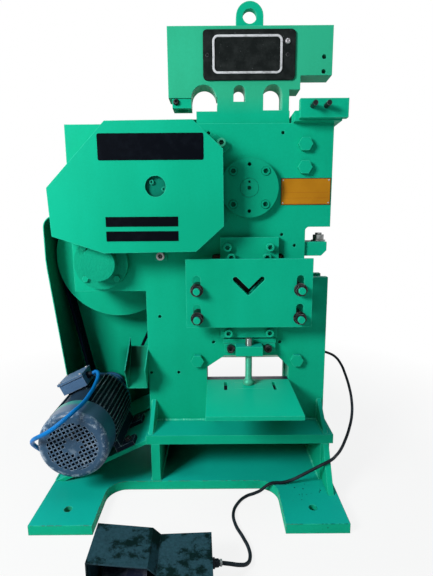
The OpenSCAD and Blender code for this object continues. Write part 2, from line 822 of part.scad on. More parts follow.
// Fixed blades: V blade in the front plate's window, flat blade under the table's edge
module fixed_blades() {
    color(dark) {
        slab(front_y, -gap_y - slide) polygon([[clamp_x0, opening_z0], [clamp_x1, opening_z0],
            [clamp_x1, blade_z], [angle_x + 78, blade_z], [angle_x, blade_z - 78],
            [angle_x - 78, blade_z], [clamp_x0, blade_z]]);
        slab(front_y + 6, -gap_y - slide) for (x = [[seat_x0 + 4, clamp_x0 + 1], [clamp_x1 - 1, seat_x1 - 4]])
            translate([x[0], blade_z - 60]) square([x[1] - x[0], 68]);
        slab(front_y, -gap_y - slide) translate([window_x0, window_z0])
            square([window_x1 - window_x0, table_z - window_z0]);
    }
}

// Studs that carry the angle guard
module guide_studs() {
    color(jade) for (x = stud_x, z = stud_z)
        rod(x, z, guard_y - 30, front_y + 19, stud_r);
}

// Sleeves, washers and nuts on the studs
module stud_nuts() {
    color(dark) for (x = stud_x, z = stud_z) difference() {
        union() {
            rod(x, z, guard_y + guard_t + slide, front_y, stud_r + 6);
            rod(x, z, guard_y - slide - 3, guard_y - slide, stud_r + 9);
            translate([x, guard_y - slide - 3, z]) rotate([90, 0, 0])
                cylinder(r = stud_r + 7.3, h = 16, $fn = 6);
        }
        rod(x, z, guard_y - 40, front_y + 1, stud_r + fit);
    }
}

// Block with ears that holds the hold-down screw
module hold_down_bracket() {
    color(jade) difference() {
        union() {
            block([work_x - 73, block_y1, block_z0], [work_x + 84, front_y, bar_z0 - 1]);
            block([work_x - 40, block_y0, block_z0], [work_x + 41, block_y1, block_z1]);
        }
        translate([work_x, hold_y, block_z0 - 1])
            cylinder(r = screw_r + fit, h = block_z1 - block_z0 + 2);
        for (p = bracket_screws())
            rod(p[0], p[1], block_y1 - 1, front_y + 1, cap_r + bolt_fit);
    }
}

// Table in front of the flat blade, on two ribs
module shear_table() {
    under = table_z - table_t;
    slot_w = 10;
    groove_t = 1.5;
    color(jade) {
        difference() {
            block([table_x0, front_y - table_d, under], [table_x0 + table_w, front_y, table_z]);
            for (x = [work_x - 76, work_x + 73])
                block([x, front_y - 79, under - 1], [x + slot_w, front_y - 20, table_z + 1]);
            for (y = [front_y - 72, front_y - 25])
                block([work_x - 41, y, table_z - groove_t], [work_x + 45, y + 2, table_z + 1]);
        }
        for (x = [table_x0 + 20, table_x0 + table_w - 20 - table_t]) translate([x, 0, 0])
            rotate([90, 0, 90]) linear_extrude(table_t) polygon([[front_y, under],
                [front_y - 100, under], [front_y - 8, column_z], [front_y, column_z]]);
    }
}

// Bolster of the notch station, on top of the frame
module notch_bolster() {
    left = frame_right - 118;
    // Tongue behind the ram that closes the gap beside it
    tongue = 14;
    color(jade) {
        block([left, front_y - bolster_out, top_z], [frame_right + 15, rear_y, top_z + bolster_t]);
        block([left - tongue, gap_y + 1, top_z], [left + 1, rear_y, top_z + bolster_t]);
    }
}

// Upright stop plate of the notch station
module notch_stop() {
    color(jade) difference() {
        block([frame_right - 107, front_y - bolster_out - stop_t, top_z + 4],
            [frame_right + 26, front_y - bolster_out, top_z + 54]);
        for (x = stop_screw_x) rod(x, stop_screw_z, front_y - bolster_out - stop_t - 1, front_y,
            stop_screw_r + fit);
    }
}

// Block in the bar station's notch
module bar_block() {
    color(jade) difference() {
        slab(front_y + 8, rear_y - 8) polygon([[notch_x, bar_block_z0], [notch_x + 52, bar_block_z0],
            [notch_x + 68, bar_block_z0 + 16], [notch_x + 68, bar_block_z1], [notch_x, bar_block_z1]]);
        translate([bar_nut_x, 0, bar_block_z1 - bar_stud_l])
            cylinder(r = bar_stud_r + fit, h = bar_stud_l + 1);
    }
}

// Folded trough that slopes to the front beside the column, its walls taller at the lower end
module scrap_chute() {
    floor_w = 64;
    // Ends of the floor, and the walls' free corners, as [y, z]
    top_end = [-20, 414];
    low_end = [-90, 300];
    top_corner = [-20, 443];
    low_corner = [-118, 368];
    behind = [sheet_t, 0];
    color(jade) {
        translate([column_x - floor_w, 0, 0]) rotate([90, 0, 90]) linear_extrude(floor_w)
            polygon([top_end, low_end, low_end + behind, top_end + behind]);
        for (x = [column_x - floor_w, column_x - sheet_t]) translate([x, 0, 0])
            rotate([90, 0, 90]) linear_extrude(sheet_t) polygon([top_end + behind, top_end,
                top_corner, low_corner, low_end, low_end + behind]);
    }
}

// Bare data plate
module data_plate() {
    color("#d7960f") block([frame_right - 149, front_y - 1.2, plate_z0],
        [frame_right - 3, front_y, plate_z0 + plate_h]);
}

// Ribbed motor body with its feet
module motor_body() {
    stack = shield_r - 4;
    color(motor_blue) on_motor() {
        slab(motor_nde_y, motor_de_y) difference() {
            union() {
                circle(r = stack);
                for (a = [0:7.5:352.5]) if (a < 55 || (a > 125 && a < 236) || a > 304)
                    rotate(a) translate([stack - 2, -1.5]) square([12, 3]);
            }
            circle(r = 61);
        }
        block([10 - box_half_w, box_y0 + 8, stack - 14], [box_half_w - 10, box_y1 - 8, box_base]);
        for (s = [-1, 1], y = [motor_nde_y + 14, motor_de_y - 58])
            block([s > 0 ? 55 : -115, y, -motor_h], [s > 0 ? 115 : -55, y + 44, -motor_h + 14]);
        for (s = [-1, 1]) block([s > 0 ? 58 : -76, motor_nde_y + 10, -motor_h + 14],
            [s > 0 ? 76 : -58, motor_de_y - 10, -66]);
    }
}

// End shields of the motor
module motor_shields() {
    color(motor_blue) on_motor() difference() {
        union() {
            rod(0, 0, motor_de_y, motor_de_y + 14, shield_r);
            rod(0, 0, motor_de_y + 14, motor_end_y, 62);
            rod(0, 0, motor_nde_y - 14, motor_nde_y, shield_r);
        }
        rod(0, 0, motor_nde_y - 20, motor_end_y + 1, motor_shaft_r + fit);
    }
}

// Fan cowl with a grille of square holes
module fan_cowl() {
    wall = 2;
    edge = 18;
    pitch = 11.8;
    hole = 8.2;
    grille_r = cowl_r - edge - 11;
    color(motor_blue) on_motor() {
        translate([0, motor_nde_y, 0]) rotate([90, 0, 0]) rotate_extrude($fn = 72) {
            depth = motor_nde_y - motor_fan_y;
            difference() {
                union() {
                    square([cowl_r, depth - edge]);
                    square([cowl_r - edge, depth]);
                    translate([cowl_r - edge, depth - edge]) circle(r = edge);
                }
                translate([-1, -1]) square([cowl_r - wall + 1, depth - edge + 1]);
                translate([-1, -1]) square([cowl_r - edge + 1, depth + 2]);
                translate([cowl_r - edge, depth - edge]) circle(r = edge - wall);
                translate([-cowl_r, -1]) square([cowl_r, 2 * depth]);
            }
        }
        slab(motor_fan_y, motor_fan_y + wall) difference() {
            circle(r = cowl_r - edge);
            intersection() {
                circle(r = grille_r);
                for (i = [-7:7], j = [-7:7]) {
                    d = norm([i, j]) * pitch;
                    if (d > 2 * pitch && d < grille_r + hole / 4) translate([i * pitch, j * pitch])
                        square(hole, center = true);
                }
            }
        }
    }
}

// Terminal box and its lid on the motor
module terminal_box() {
    color(motor_blue) on_motor() {
        block([-box_half_w, box_y0, box_base], [box_half_w, box_y1, box_top]);
        block([-box_half_w - lid_out, box_y0 - lid_out, box_top],
            [box_half_w + lid_out, box_y1 + lid_out, box_top + lid_t]);
    }
}

// Belts between the motor pulley and the flywheel
module drive_belts() {
    belt_h = 9;
    color(black) for (i = [0:belt_count - 1]) slab(groove_y(i) - 7.5, groove_y(i) + 7.5) difference() {
        belt_line(1);
        belt_line(1 - belt_h);
    }
}

// Line of a belt round both pulleys, out from their rims
module belt_line(out) {
    hull() {
        translate([fly_x, fly_z]) circle(r = flywheel_r + out, $fn = 96);
        translate([motor_x, motor_z]) circle(r = pulley_r + out);
    }
}

// Middle of a belt groove
function groove_y(i) = flywheel_y + flywheel_w / 2 + (i - (belt_count - 1) / 2) * 20;

// Shape of a grooved rim, from the hub's radius to r
module grooved(x, z, r, bore_r, from, to) {
    difference() {
        rod(x, z, from, to, r);
        rod(x, z, from - 1, to + 1, bore_r);
        for (i = [0:belt_count - 1]) difference() {
            rod(x, z, groove_y(i) - 8, groove_y(i) + 8, r + 1);
            rod(x, z, groove_y(i) - 9, groove_y(i) + 9, r - 9);
        }
    }
}

// Steel box of the motor starter, with its side cover
module control_box() {
    color(jade) difference() {
        block([box_x0, rear_y, box_z0], [box_x1 - 3, box_y, box_z0 + box_h]);
        block([box_x0 + 3, rear_y + 3, box_z0 + 3], [box_x1, box_y - 3, box_z0 + box_h - 3]);
    }
    color(jade) difference() {
        block([box_x1 - 3, rear_y, box_z0], [box_x1, box_y, box_z0 + box_h]);
        for (z = [start_z, stop_z]) translate([box_x1 - 4, button_y, z]) rotate([0, 90, 0])
            cylinder(r = button_r + slide, h = 6);
    }
}

// Cable glands of the terminal box, control box and foot switch
module cable_glands() {
    color(black) {
        on_motor() translate([box_half_w, (box_y0 + box_y1) / 2, box_base + 20]) rotate([0, 90, 0])
            gland(motor_cable_r);
        for (g = [[box_x0 + 37, motor_cable_r], [box_x0 + 100, pedal_cable_r]])
            translate([g[0], button_y, box_z0]) mirror([0, 0, 1]) gland(g[1]);
        on_pedal() translate([pedal_w, pedal_gland[0], pedal_gland[1]]) rotate([0, 90, 0])
            gland(pedal_cable_r);
    }
}

// A gland up from its wall: a hexagon, then a cap that narrows to the cable
module gland(cable_r) {
    cylinder(r = gland_r + 2, h = 6, $fn = 6);
    translate([0, 0, 6]) cylinder(r = gland_r - 1, h = gland_l - 10);
    translate([0, 0, gland_l - 4]) cylinder(r1 = gland_r - 1, r2 = cable_r + 1, h = 4);
}

// Cable from the motor to the control box
module motor_cable() {
    color("#0078dc") tube(motor_route, motor_cable_r);
}

// Cable from the control box to the foot switch
module pedal_cable() {
    color(black) tube(pedal_route, pedal_cable_r);
}

// Floor plate and switch case of the foot switch
module pedal_base() {
    color(black) on_pedal() {
        difference() {
            union() {
                block([0, -pedal_d, 0], [pedal_w, 0, pedal_floor]);
                block([pedal_step, -pedal_d, pedal_floor], [pedal_w, 0, pedal_low]);
                for (x = [8, pedal_split - 6]) block([x, treadle_pivot_y - 9, pedal_floor],
                    [x + 6, treadle_pivot_y + 9, treadle_pivot_z + 10]);
            }
            translate([4, treadle_pivot_y, treadle_pivot_z]) rotate([0, 90, 0])
                cylinder(r = pedal_pin_r, h = pedal_split);
        }
    }
}

// Folded hood over the treadle
module pedal_hood() {
    hood_d = pedal_d - 38;
    crest = pedal_h - pedal_fall;
    color(black) on_pedal() {
        rotate([90, 0, 0]) linear_extrude(hood_d) polygon([[0, pedal_floor], [sheet_t, pedal_floor],
            [sheet_t, pedal_h - sheet_t], [pedal_split, crest - sheet_t], [pedal_step, pedal_low - sheet_t],
            [pedal_step, pedal_low], [pedal_split, crest], [0, pedal_h]]);
        rotate([90, 0, 0]) linear_extrude(sheet_t) polygon([[sheet_t, pedal_floor],
            [pedal_split, pedal_floor], [pedal_split, crest - sheet_t], [sheet_t, pedal_h - sheet_t]]);
    }
}

// Outline of the ram
module ram_outline() {
    step_x = shaft_x + 148;
    neck_x0 = shaft_x - 92;
    neck_x1 = slab_x1 - 2;
    difference() {
        polygon([[tongue_x0, ram_bottom], [tongue_x1, ram_bottom], [tongue_x1, shoulder_z],
            [slab_x1, shoulder_z + 8], [slab_x1, slab_top], [neck_x1, slab_top], [neck_x1, 1183],
            [step_x, 1183], [step_x, 1221], [head_x1, 1221], [head_x1, head_top],
            [head_x0, head_top], [head_x0, arm_z], [neck_x0, arm_z], [neck_x0, slab_top],
            [slab_x0, slab_top], [slab_x0, shoulder_z + 8], [tongue_x0, shoulder_z]]);
        translate([neck_x0 - 38, arm_z]) circle(r = 36);
        translate([neck_x0 - 38, arm_z - 20]) square([39, 22]);
        arch(shaft_x - 44, shaft_x - 10, 1151, 1196);
        arch(shaft_x + 42, shaft_x + 97, 1127, 1198);
        translate([shaft_x - ring_r - yoke_side, shaft_z + throw - ring_r - yoke_lift])
            square([2 * (ring_r + yoke_side), 2 * (ring_r + yoke_lift)]);
        translate([angle_x - 70, opening_z0 + 8]) square([140, heel_z + 42 - opening_z0]);
        for (z = [1270, 1231]) translate([head_x1 - 24, z]) circle(r = tool_hole_r);
    }
}

// Ram: head, neck, slab and tongue from one thick plate
module ram() {
    half = gap_y - ram_gap;
    color(jade) difference() {
        slab(-half, half) ram_outline();
        block([tongue_x0 - 1, -half - 1, ram_bottom - 1],
            [tongue_x1 + 1, -half + blade_t, ram_bottom + blade_h]);
    }
}

// Lifting eye on the ram's head
module lifting_eye() {
    x = (head_x0 + head_x1) / 2;
    color(jade) slab(-10, 10) difference() {
        union() {
            translate([x, head_top + eye_lift]) circle(r = eye_r);
            translate([x - eye_r, head_top]) square([2 * eye_r, eye_lift]);
        }
        translate([x, head_top + eye_lift]) circle(r = eye_hole_r);
        translate([x - 2 * eye_r, head_top - eye_r]) square([4 * eye_r, eye_r]);
    }
}

// Cast name plate with a raised border, left bare
module name_plate() {
    face = -gap_y + ram_gap;
    x0 = shaft_x - 131;
    x1 = shaft_x + 131;
    z0 = head_top - 144;
    z1 = head_top - 11;
    border_w = 6;
    color(black) {
        slab(face - 5, face) round_rect(x0, x1, z0, z1, 12);
        slab(face - 8, face - 5) difference() {
            round_rect(x0 + 27, x1 - 37, z0 + 16, z1 - 15, 16);
            round_rect(x0 + 27 + border_w, x1 - 37 - border_w, z0 + 16 + border_w, z1 - 15 - border_w,
                16 - border_w);
        }
    }
}

// Punch holder under the left arm, with an empty socket
module punch_holder() {
    color(jade) difference() {
        block([punch_x - 28, -28, punch_block_z], [punch_x + 27, 28, arm_z]);
        translate([punch_x, 0, punch_block_z - 1]) cylinder(r = punch_r, h = arm_z - punch_block_z - 5);
    }
}

// Blades that the ram carries: V blade and flat blade
module moving_blades() {
    half = gap_y - ram_gap;
    color(steel) {
        slab(-half, half - blade_t) polygon([[angle_x - 52, heel_z + 50], [angle_x - 52, heel_z],
            [angle_x, heel_z - 52], [angle_x + 52, heel_z], [angle_x + 52, heel_z + 50]]);
        block([tongue_x0 + 4, -half, ram_bottom],
            [tongue_x1 - 4, -half + blade_t, ram_bottom + blade_h]);
    }
}

// Eccentric shaft with its disc at the top of the throw
module eccentric_shaft() {
    tail_y = face2_y + face2_w + 8;
    centre_hole_r = 5.5;
    color(steel) difference() {
        union() {
            rod(shaft_x, shaft_z, front_y - cover_t, front_y + 1, stub_r);
            rod(shaft_x, shaft_z, front_y + 1, tail_y, eccentric_r);
            rod(shaft_x, shaft_z + throw, -gap_y + 2, gap_y - 2, disc_r);
        }
        rod(shaft_x, shaft_z, front_y - cover_t - 1, front_y - 12, centre_hole_r);
        rod(shaft_x, shaft_z + 17, front_y - cover_t - 1, front_y - 12, 3.5);
    }
    color(dark) rod(shaft_x, shaft_z, tail_y, tail_y + 6, eccentric_r + 12);
}

// Bronze ring that runs on the eccentric in the yoke
module eccentric_ring() {
    color(bronze) difference() {
        rod(shaft_x, shaft_z + throw, -gap_y + 2, gap_y - 2, ring_r);
        rod(shaft_x, shaft_z + throw, -gap_y, gap_y, disc_r);
    }
}

// Large gear that runs free on the eccentric shaft
module bull_gear() {
    color(steel) difference() {
        union() {
            gear(shaft_x, shaft_z, face2_y, face2_y + face2_w, gear_teeth, 180 + 180 / gear_teeth);
            rod(shaft_x, shaft_z, face2_y + face2_w, face2_y + face2_w + 7.5, eccentric_r + 20);
        }
        rod(shaft_x, shaft_z, face2_y - 1, face2_y + face2_w + 9, eccentric_r + fit);
    }
}

// Intermediate shaft with its pinion
module intermediate_shaft() {
    color(steel) {
        rod(inter_x, inter_z, octagon_y + 16, face2_y + face2_w + 6, inter_r);
        gear(inter_x, inter_z, face2_y, face2_y + face2_w, pinion2_teeth, 0);
    }
}

// Large gear on the intermediate shaft
module intermediate_gear() {
    color(steel) difference() {
        gear(inter_x, inter_z, face1_y, face1_y + face1_w, gear_teeth,
            drive_angle + 180 + 180 / gear_teeth);
        rod(inter_x, inter_z, face1_y - 1, face1_y + face1_w + 1, inter_r);
    }
}

// Disc on the front end of the intermediate shaft, for turning by hand
module inching_disc() {
    y0 = octagon_y + 22;
    end_screws = [[-11, 12], [22, -7]];
    color(steel) difference() {
        union() {
            rod(inter_x, inter_z, y0, y0 + 14, 130);
            rod(inter_x, inter_z, y0 + 14, y0 + 38, 55);
        }
        rod(inter_x, inter_z, y0 - 1, y0 + 40, inter_r);
    }
    color(dark) {
        difference() {
            rod(inter_x, inter_z, octagon_y + 11, octagon_y + 16, inter_r + 6);
            for (p = end_screws)
                rod(inter_x + p[0], inter_z + p[1], octagon_y + 10, octagon_y + 17, 4 + fit);
        }
        for (p = end_screws) difference() {
            rod(inter_x + p[0], inter_z + p[1], octagon_y + 6, octagon_y + 11, 6.5);
            translate([inter_x + p[0], octagon_y + 9, inter_z + p[1]]) rotate([90, 0, 0])
                cylinder(r = 3.5, h = 4, $fn = 6);
        }
    }
}

// Flywheel with belt grooves in its rim
module flywheel() {
    recess_y = flywheel_y + flywheel_w - 22;
    color(jade) difference() {
        grooved(fly_x, fly_z, flywheel_r, fly_shaft_r, flywheel_y, flywheel_y + flywheel_w);
        difference() {
            rod(fly_x, fly_z, recess_y, recess_y + 23, flywheel_r - 42);
            rod(fly_x, fly_z, recess_y - 1, recess_y + 24, 2 * fly_shaft_r);
        }
    }
}

// Flywheel shaft with its pinion
module flywheel_shaft() {
    color(steel) {
        rod(fly_x, fly_z, front_y - housing_cap_t + 14, flywheel_y + flywheel_w + 6, fly_shaft_r);
        gear(fly_x, fly_z, face1_y, face1_y + face1_w, pinion1_teeth, drive_angle);
    }
}

// Motor shaft with its rotor and cooling fan
module motor_shaft() {
    color(steel) on_motor() {
        rod(0, 0, motor_fan_y + 22, flywheel_y + flywheel_w - 4, motor_shaft_r);
        rod(0, 0, motor_nde_y + 10, motor_de_y - 10, 60);
        rod(0, 0, motor_fan_y + 26, motor_fan_y + 44, 30);
        for (a = [0:45:315]) rotate([0, a, 0])
            block([28, motor_fan_y + 26, -1.5], [84, motor_fan_y + 58, 1.5]);
    }
}

// Grooved pulley on the motor shaft
module motor_pulley() {
    color(dark) on_motor() grooved(0, 0, pulley_r, motor_shaft_r, flywheel_y,
        flywheel_y + flywheel_w);
}

// Plate with a V slot that slides on four studs
module angle_guard() {
    arm = 55;
    slot_w = 15;
    color(jade) difference() {
        slab(guard_y, guard_y + guard_t) difference() {
            translate([guard_x0, guard_z0]) square([guard_w, guard_h]);
            for (s = [-1, 1]) translate([angle_x, angle_z]) rotate(s > 0 ? 45 : 135) {
                translate([0, -slot_w / 2]) square([arm, slot_w]);
                translate([arm, 0]) circle(r = slot_w / 2);
                circle(r = slot_w / 2);
            }
            for (x = stud_x, z = stud_z) upright_slot(x, z, z + guard_travel + slide, stud_r + 1);
        }
    }
}

// Screw with a swivel foot that holds the work on the table
module hold_down_screw() {
    color(steel) translate([work_x, hold_y, table_z + slide]) {
        cylinder(r = foot_pad_r, h = 8);
        translate([0, 0, 8]) cylinder(r1 = foot_pad_r, r2 = screw_r, h = foot_pad_h - 8);
        cylinder(r = screw_r, h = block_z1 + 22 - table_z);
    }
}

// Treadle with its hinge pin
module treadle() {
    color(black) on_pedal() {
        block([18, -pedal_d - 14, treadle_pivot_z - 2], [pedal_split - 10, treadle_pivot_y,
            treadle_pivot_z + 2]);
        translate([8.5, treadle_pivot_y, treadle_pivot_z]) rotate([0, 90, 0])
            cylinder(r = pedal_pin_r - fit, h = pedal_split - 9);
    }
}

// A push button on the control box, along X
module button(z, head_r, head_l) {
    translate([box_x1 - 10, button_y, z]) rotate([0, 90, 0]) {
        cylinder(r = button_r, h = 10 + button_travel + 2);
        translate([0, 0, 10 + button_travel + 2]) cylinder(r = head_r, h = head_l);
        translate([0, 0, -4]) cylinder(r = button_r + 4, h = 4);
    }
}

// Start button
module start_button() {
    color("#2e9b3e") button(start_z, 12, 5);
}

// Stop button with a mushroom head
module stop_button() {
    color("#c8281e") button(stop_z, 19, 9);
}

base_plate();
base_webs();
base_flange();
base_gussets();
motor_plate();
front_plate();
rear_plate();
frame_spacers();
slide_guides();
tie_bolts();
bearing_bushes();
eccentric_cover();
flywheel_housing();
painted_screws();
black_screws();
bare_screws();
gear_guard();
rear_guard();
clamp_plate();
fixed_blades();
guide_studs();
stud_nuts();
hold_down_bracket();
shear_table();
notch_bolster();
notch_stop();
bar_block();
scrap_chute();
data_plate();
motor_body();
motor_shields();
fan_cowl();
terminal_box();
drive_belts();
control_box();
cable_glands();
motor_cable();
pedal_cable();
pedal_base();
pedal_hood();
ram();
lifting_eye();
name_plate();
punch_holder();
moving_blades();
eccentric_shaft();
eccentric_ring();
bull_gear();
intermediate_shaft();
intermediate_gear();
inching_disc();
flywheel();
flywheel_shaft();
motor_shaft();
motor_pulley();
angle_guard();
hold_down_screw();
treadle();
start_button();
stop_button();
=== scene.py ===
import math
import random

import bmesh
import bpy
from mathutils import Matrix, Vector


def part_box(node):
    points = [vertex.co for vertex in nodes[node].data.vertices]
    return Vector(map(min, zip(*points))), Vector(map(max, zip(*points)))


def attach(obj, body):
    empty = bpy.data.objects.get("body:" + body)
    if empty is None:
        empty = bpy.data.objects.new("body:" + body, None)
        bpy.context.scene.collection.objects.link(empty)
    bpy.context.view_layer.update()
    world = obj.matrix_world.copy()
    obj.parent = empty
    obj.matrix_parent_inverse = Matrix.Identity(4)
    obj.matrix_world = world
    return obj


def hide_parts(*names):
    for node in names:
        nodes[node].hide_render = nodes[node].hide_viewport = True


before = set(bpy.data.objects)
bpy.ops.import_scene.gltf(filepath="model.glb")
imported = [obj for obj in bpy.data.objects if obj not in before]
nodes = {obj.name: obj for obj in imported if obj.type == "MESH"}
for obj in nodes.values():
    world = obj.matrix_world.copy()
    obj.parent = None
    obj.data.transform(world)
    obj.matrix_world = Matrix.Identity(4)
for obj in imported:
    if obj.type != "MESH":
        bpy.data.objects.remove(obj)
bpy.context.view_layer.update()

scene = bpy.context.scene
scene.view_settings.view_transform = "Standard"

# The viewpoint: in front of the machine at chest height, a little right of its
# middle, with a short lens that looks slightly down.
camera_place = (0.076, -1.2635, 0.815)
camera_pitch = math.radians(80.3)
camera_roll = math.radians(-0.39)
camera_data = bpy.data.cameras.new("camera")
camera_data.lens = 25.0
camera_data.sensor_width = 36.0
camera = bpy.data.objects.new("camera", camera_data)
tilt = Matrix.Rotation(camera_pitch, 4, "X") @ Matrix.Rotation(camera_roll, 4, "Z")
camera.matrix_world = Matrix.Translation(camera_place) @ tilt
scene.collection.objects.link(camera)
scene.camera = camera


# The motor cable: a round PVC sheath, 12 mm thick, that leaves the terminal box,
# lies over the fan cowl, drops to the base and runs behind it to the control box.
def shader_node(tree, kind, inputs=None, **settings):
    """A shader node whose inputs are set to values, or joined to other sockets."""
    node = tree.nodes.new("ShaderNode" + kind)
    for name, value in settings.items():
        setattr(node, name, value)
    for name, value in (inputs or {}).items():
        if isinstance(value, bpy.types.NodeSocket):
            tree.links.new(value, node.inputs[name])
        else:
            node.inputs[name].default_value = value
    return node


def new_material(name, specular=0.5):
    """A node material, its tree and its Principled shader."""
    material = bpy.data.materials.new(name)
    material.use_nodes = True
    shader = material.node_tree.nodes["Principled BSDF"]
    shader.inputs["Specular IOR Level"].default_value = specular
    return material, material.node_tree, shader


def mixed(tree, factor, first, second):
    """The colour between two colours."""
    return shader_node(tree, "Mix", {0: factor, 6: first, 7: second}, data_type="RGBA").outputs[2]


def ranged(tree, value, low, high, to_low=0.0, to_high=1.0):
    """A value moved from one range to another, and kept inside it."""
    inputs = {0: value, 1: low, 2: high, 3: to_low, 4: to_high}
    return shader_node(tree, "MapRange", inputs).outputs[0]


def calc(tree, operation, *values):
    """The result of one sum on values or sockets."""
    return shader_node(tree, "Math", dict(enumerate(values)), operation=operation).outputs[0]


def noise(tree, scale, detail=3.0, roughness=0.5, stretch=(1, 1, 1)):
    """A noise pattern fixed to the piece, with its cells stretched along an axis."""
    place = shader_node(tree, "TexCoord").outputs["Object"]
    if tuple(stretch) != (1, 1, 1):
        place = shader_node(tree, "Mapping", {"Vector": place, "Scale": stretch}).outputs[0]
    inputs = {"Vector": place, "Scale": scale, "Detail": detail, "Roughness": roughness}
    return shader_node(tree, "TexNoise", inputs).outputs["Fac"]


def bump(tree, height, strength, distance, normal=None):
    """A normal that follows a height, over a rounded or plain normal."""
    inputs = {"Height": height, "Strength": strength, "Distance": distance}
    if normal is not None:
        inputs["Normal"] = normal
    return shader_node(tree, "Bump", inputs).outputs[0]


def rounded(tree, radius):
    """A normal that rolls over the piece's edges."""
    return shader_node(tree, "Bevel", {"Radius": radius}, samples=4).outputs[0]


def feed(tree, inputs, sockets):
    """Joins sockets to a shader's or group's inputs, by their names."""
    for name, socket in sockets.items():
        tree.links.new(socket, inputs[name])


def lay_cord(name, route_mm, radius, material):
    """A curve of one spline through the route's points, with a round section."""
    curve = bpy.data.curves.new(name, "CURVE")
    curve.dimensions = "3D"
    curve.bevel_depth = radius
    curve.bevel_resolution = 5
    curve.resolution_u = 6
    curve.use_fill_caps = True
    spline = curve.splines.new("BEZIER")
    spline.bezier_points.add(len(route_mm) - 1)
    for point, place in zip(spline.bezier_points, route_mm):
        point.co = Vector(place) / 1000
        point.handle_left_type = "AUTO"
        point.handle_right_type = "AUTO"
    cord = bpy.data.objects.new(name, curve)
    curve.materials.append(material)
    scene.collection.objects.link(cord)
    return cord


motor_route = [
    (-324, -40, 331), (-313, -40, 336), (-305, -47, 333), (-302, -63, 323), (-302, -85, 316),
    (-301, -115, 311), (-301, -150, 309), (-302, -185, 307), (-304, -222, 308),
    (-310, -252, 308), (-322, -274, 301), (-340, -286, 288), (-362, -289, 272),
    (-385, -285, 257), (-407, -275, 243), (-425, -261, 228), (-438, -242, 209),
    (-444, -218, 186), (-444, -192, 160), (-439, -165, 132), (-431, -138, 104),
    (-422, -112, 78), (-413, -84, 56), (-407, -54, 44), (-406, -20, 43),
    (-406, 30, 43), (-406, 80, 43), (-406, 108, 43), (-396, 131, 39),
    (-373, 142, 35), (-340, 143, 34.5), (-290, 143, 34.5), (-230, 143, 34.5),
    (-160, 143, 34.5), (-80, 143, 34.5), (10, 143, 34.5), (100, 143, 34.5),
    (190, 143, 34.5), (270, 143, 34.5), (312, 146, 37), (338, 156, 51),
    (350, 166, 76), (352, 171, 112), (352, 171, 160), (354, 164, 220),
    (357, 150, 280), (358, 133, 328), (358, 119, 362), (358, 110, 386),
    (358, 108.5, 402),
]
motor_cable_r = 0.006
sheath_blue = (0.002, 0.165, 0.50, 1)
sheath_dusty = (0.008, 0.12, 0.33, 1)
material, tree, shader = new_material("blue_sheath", 0.08)
sheath_dust = ranged(tree, noise(tree, 22, 4), 0.45, 0.75)
feed(tree, shader.inputs, {
    "Base Color": mixed(tree, sheath_dust, sheath_blue, sheath_dusty),
    "Roughness": ranged(tree, sheath_dust, 0, 1, 0.35, 0.55),
    "Normal": bump(tree, noise(tree, 180, 2), 0.08, 0.002)})
motor_cable = lay_cord("motor_cable_sheath", motor_route, motor_cable_r, material)
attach(motor_cable, "frame")
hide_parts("motor_cable")

# The foot switch cable: black rubber, 9 mm thick. It hangs in a bow from the control
# box, lies on the gusset and the base, and snakes over the floor to the foot switch.
pedal_route = [
    (421, 108.5, 402), (421, 108.5, 384), (428, 108, 365), (446, 108, 351),
    (471, 106, 344), (496, 98, 332), (513, 82, 310), (523, 60, 280),
    (529, 32, 246), (529, 2, 212), (521, -30, 178), (504, -60, 144),
    (482, -90, 119), (458, -124, 108), (434, -156, 108), (411, -183, 111),
    (390, -188, 103), (366, -185, 87), (327, -182, 62), (296, -178, 43),
    (270, -176, 34), (247, -176, 33.5), (234, -177, 31.5), (220, -178, 23),
    (204, -179, 10), (186, -184, 5), (160, -197, 5), (134, -226, 5), (119, -266, 5),
    (123, -309, 5), (140, -352, 5), (152, -388, 5), (153, -418, 6),
    (143, -442, 13), (125, -456, 24), (103, -462, 33), (80, -461, 35),
]
pedal_cable_r = 0.0045
rubber_black = (0.006, 0.010, 0.015, 1)
rubber_dusty = (0.028, 0.04, 0.052, 1)
rubber, tree, shader = new_material("black_rubber", 0.1)
rubber_dust = ranged(tree, noise(tree, 35, 5), 0.45, 0.8)
feed(tree, shader.inputs, {
    "Base Color": mixed(tree, rubber_dust, rubber_black, rubber_dusty),
    "Roughness": ranged(tree, rubber_dust, 0, 1, 0.45, 0.7),
    "Normal": bump(tree, noise(tree, 220, 2), 0.1, 0.002)})
pedal_cable = lay_cord("pedal_cable_sheath", pedal_route, pedal_cable_r, rubber)
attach(pedal_cable, "frame")
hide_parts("pedal_cable")


# The stage: a white floor that keeps a faint shadow, and a white world. Both look
# white to the camera and in reflections, and light the machine at a plain level.
def seen_directly(tree):
    """1 for rays of the camera, of gloss and of glass, and 0 for light."""
    rays = shader_node(tree, "LightPath").outputs
    mirrored = calc(tree, "MAXIMUM", rays["Is Glossy Ray"], rays["Is Transmission Ray"])
    return calc(tree, "MAXIMUM", rays["Is Camera Ray"], mirrored)


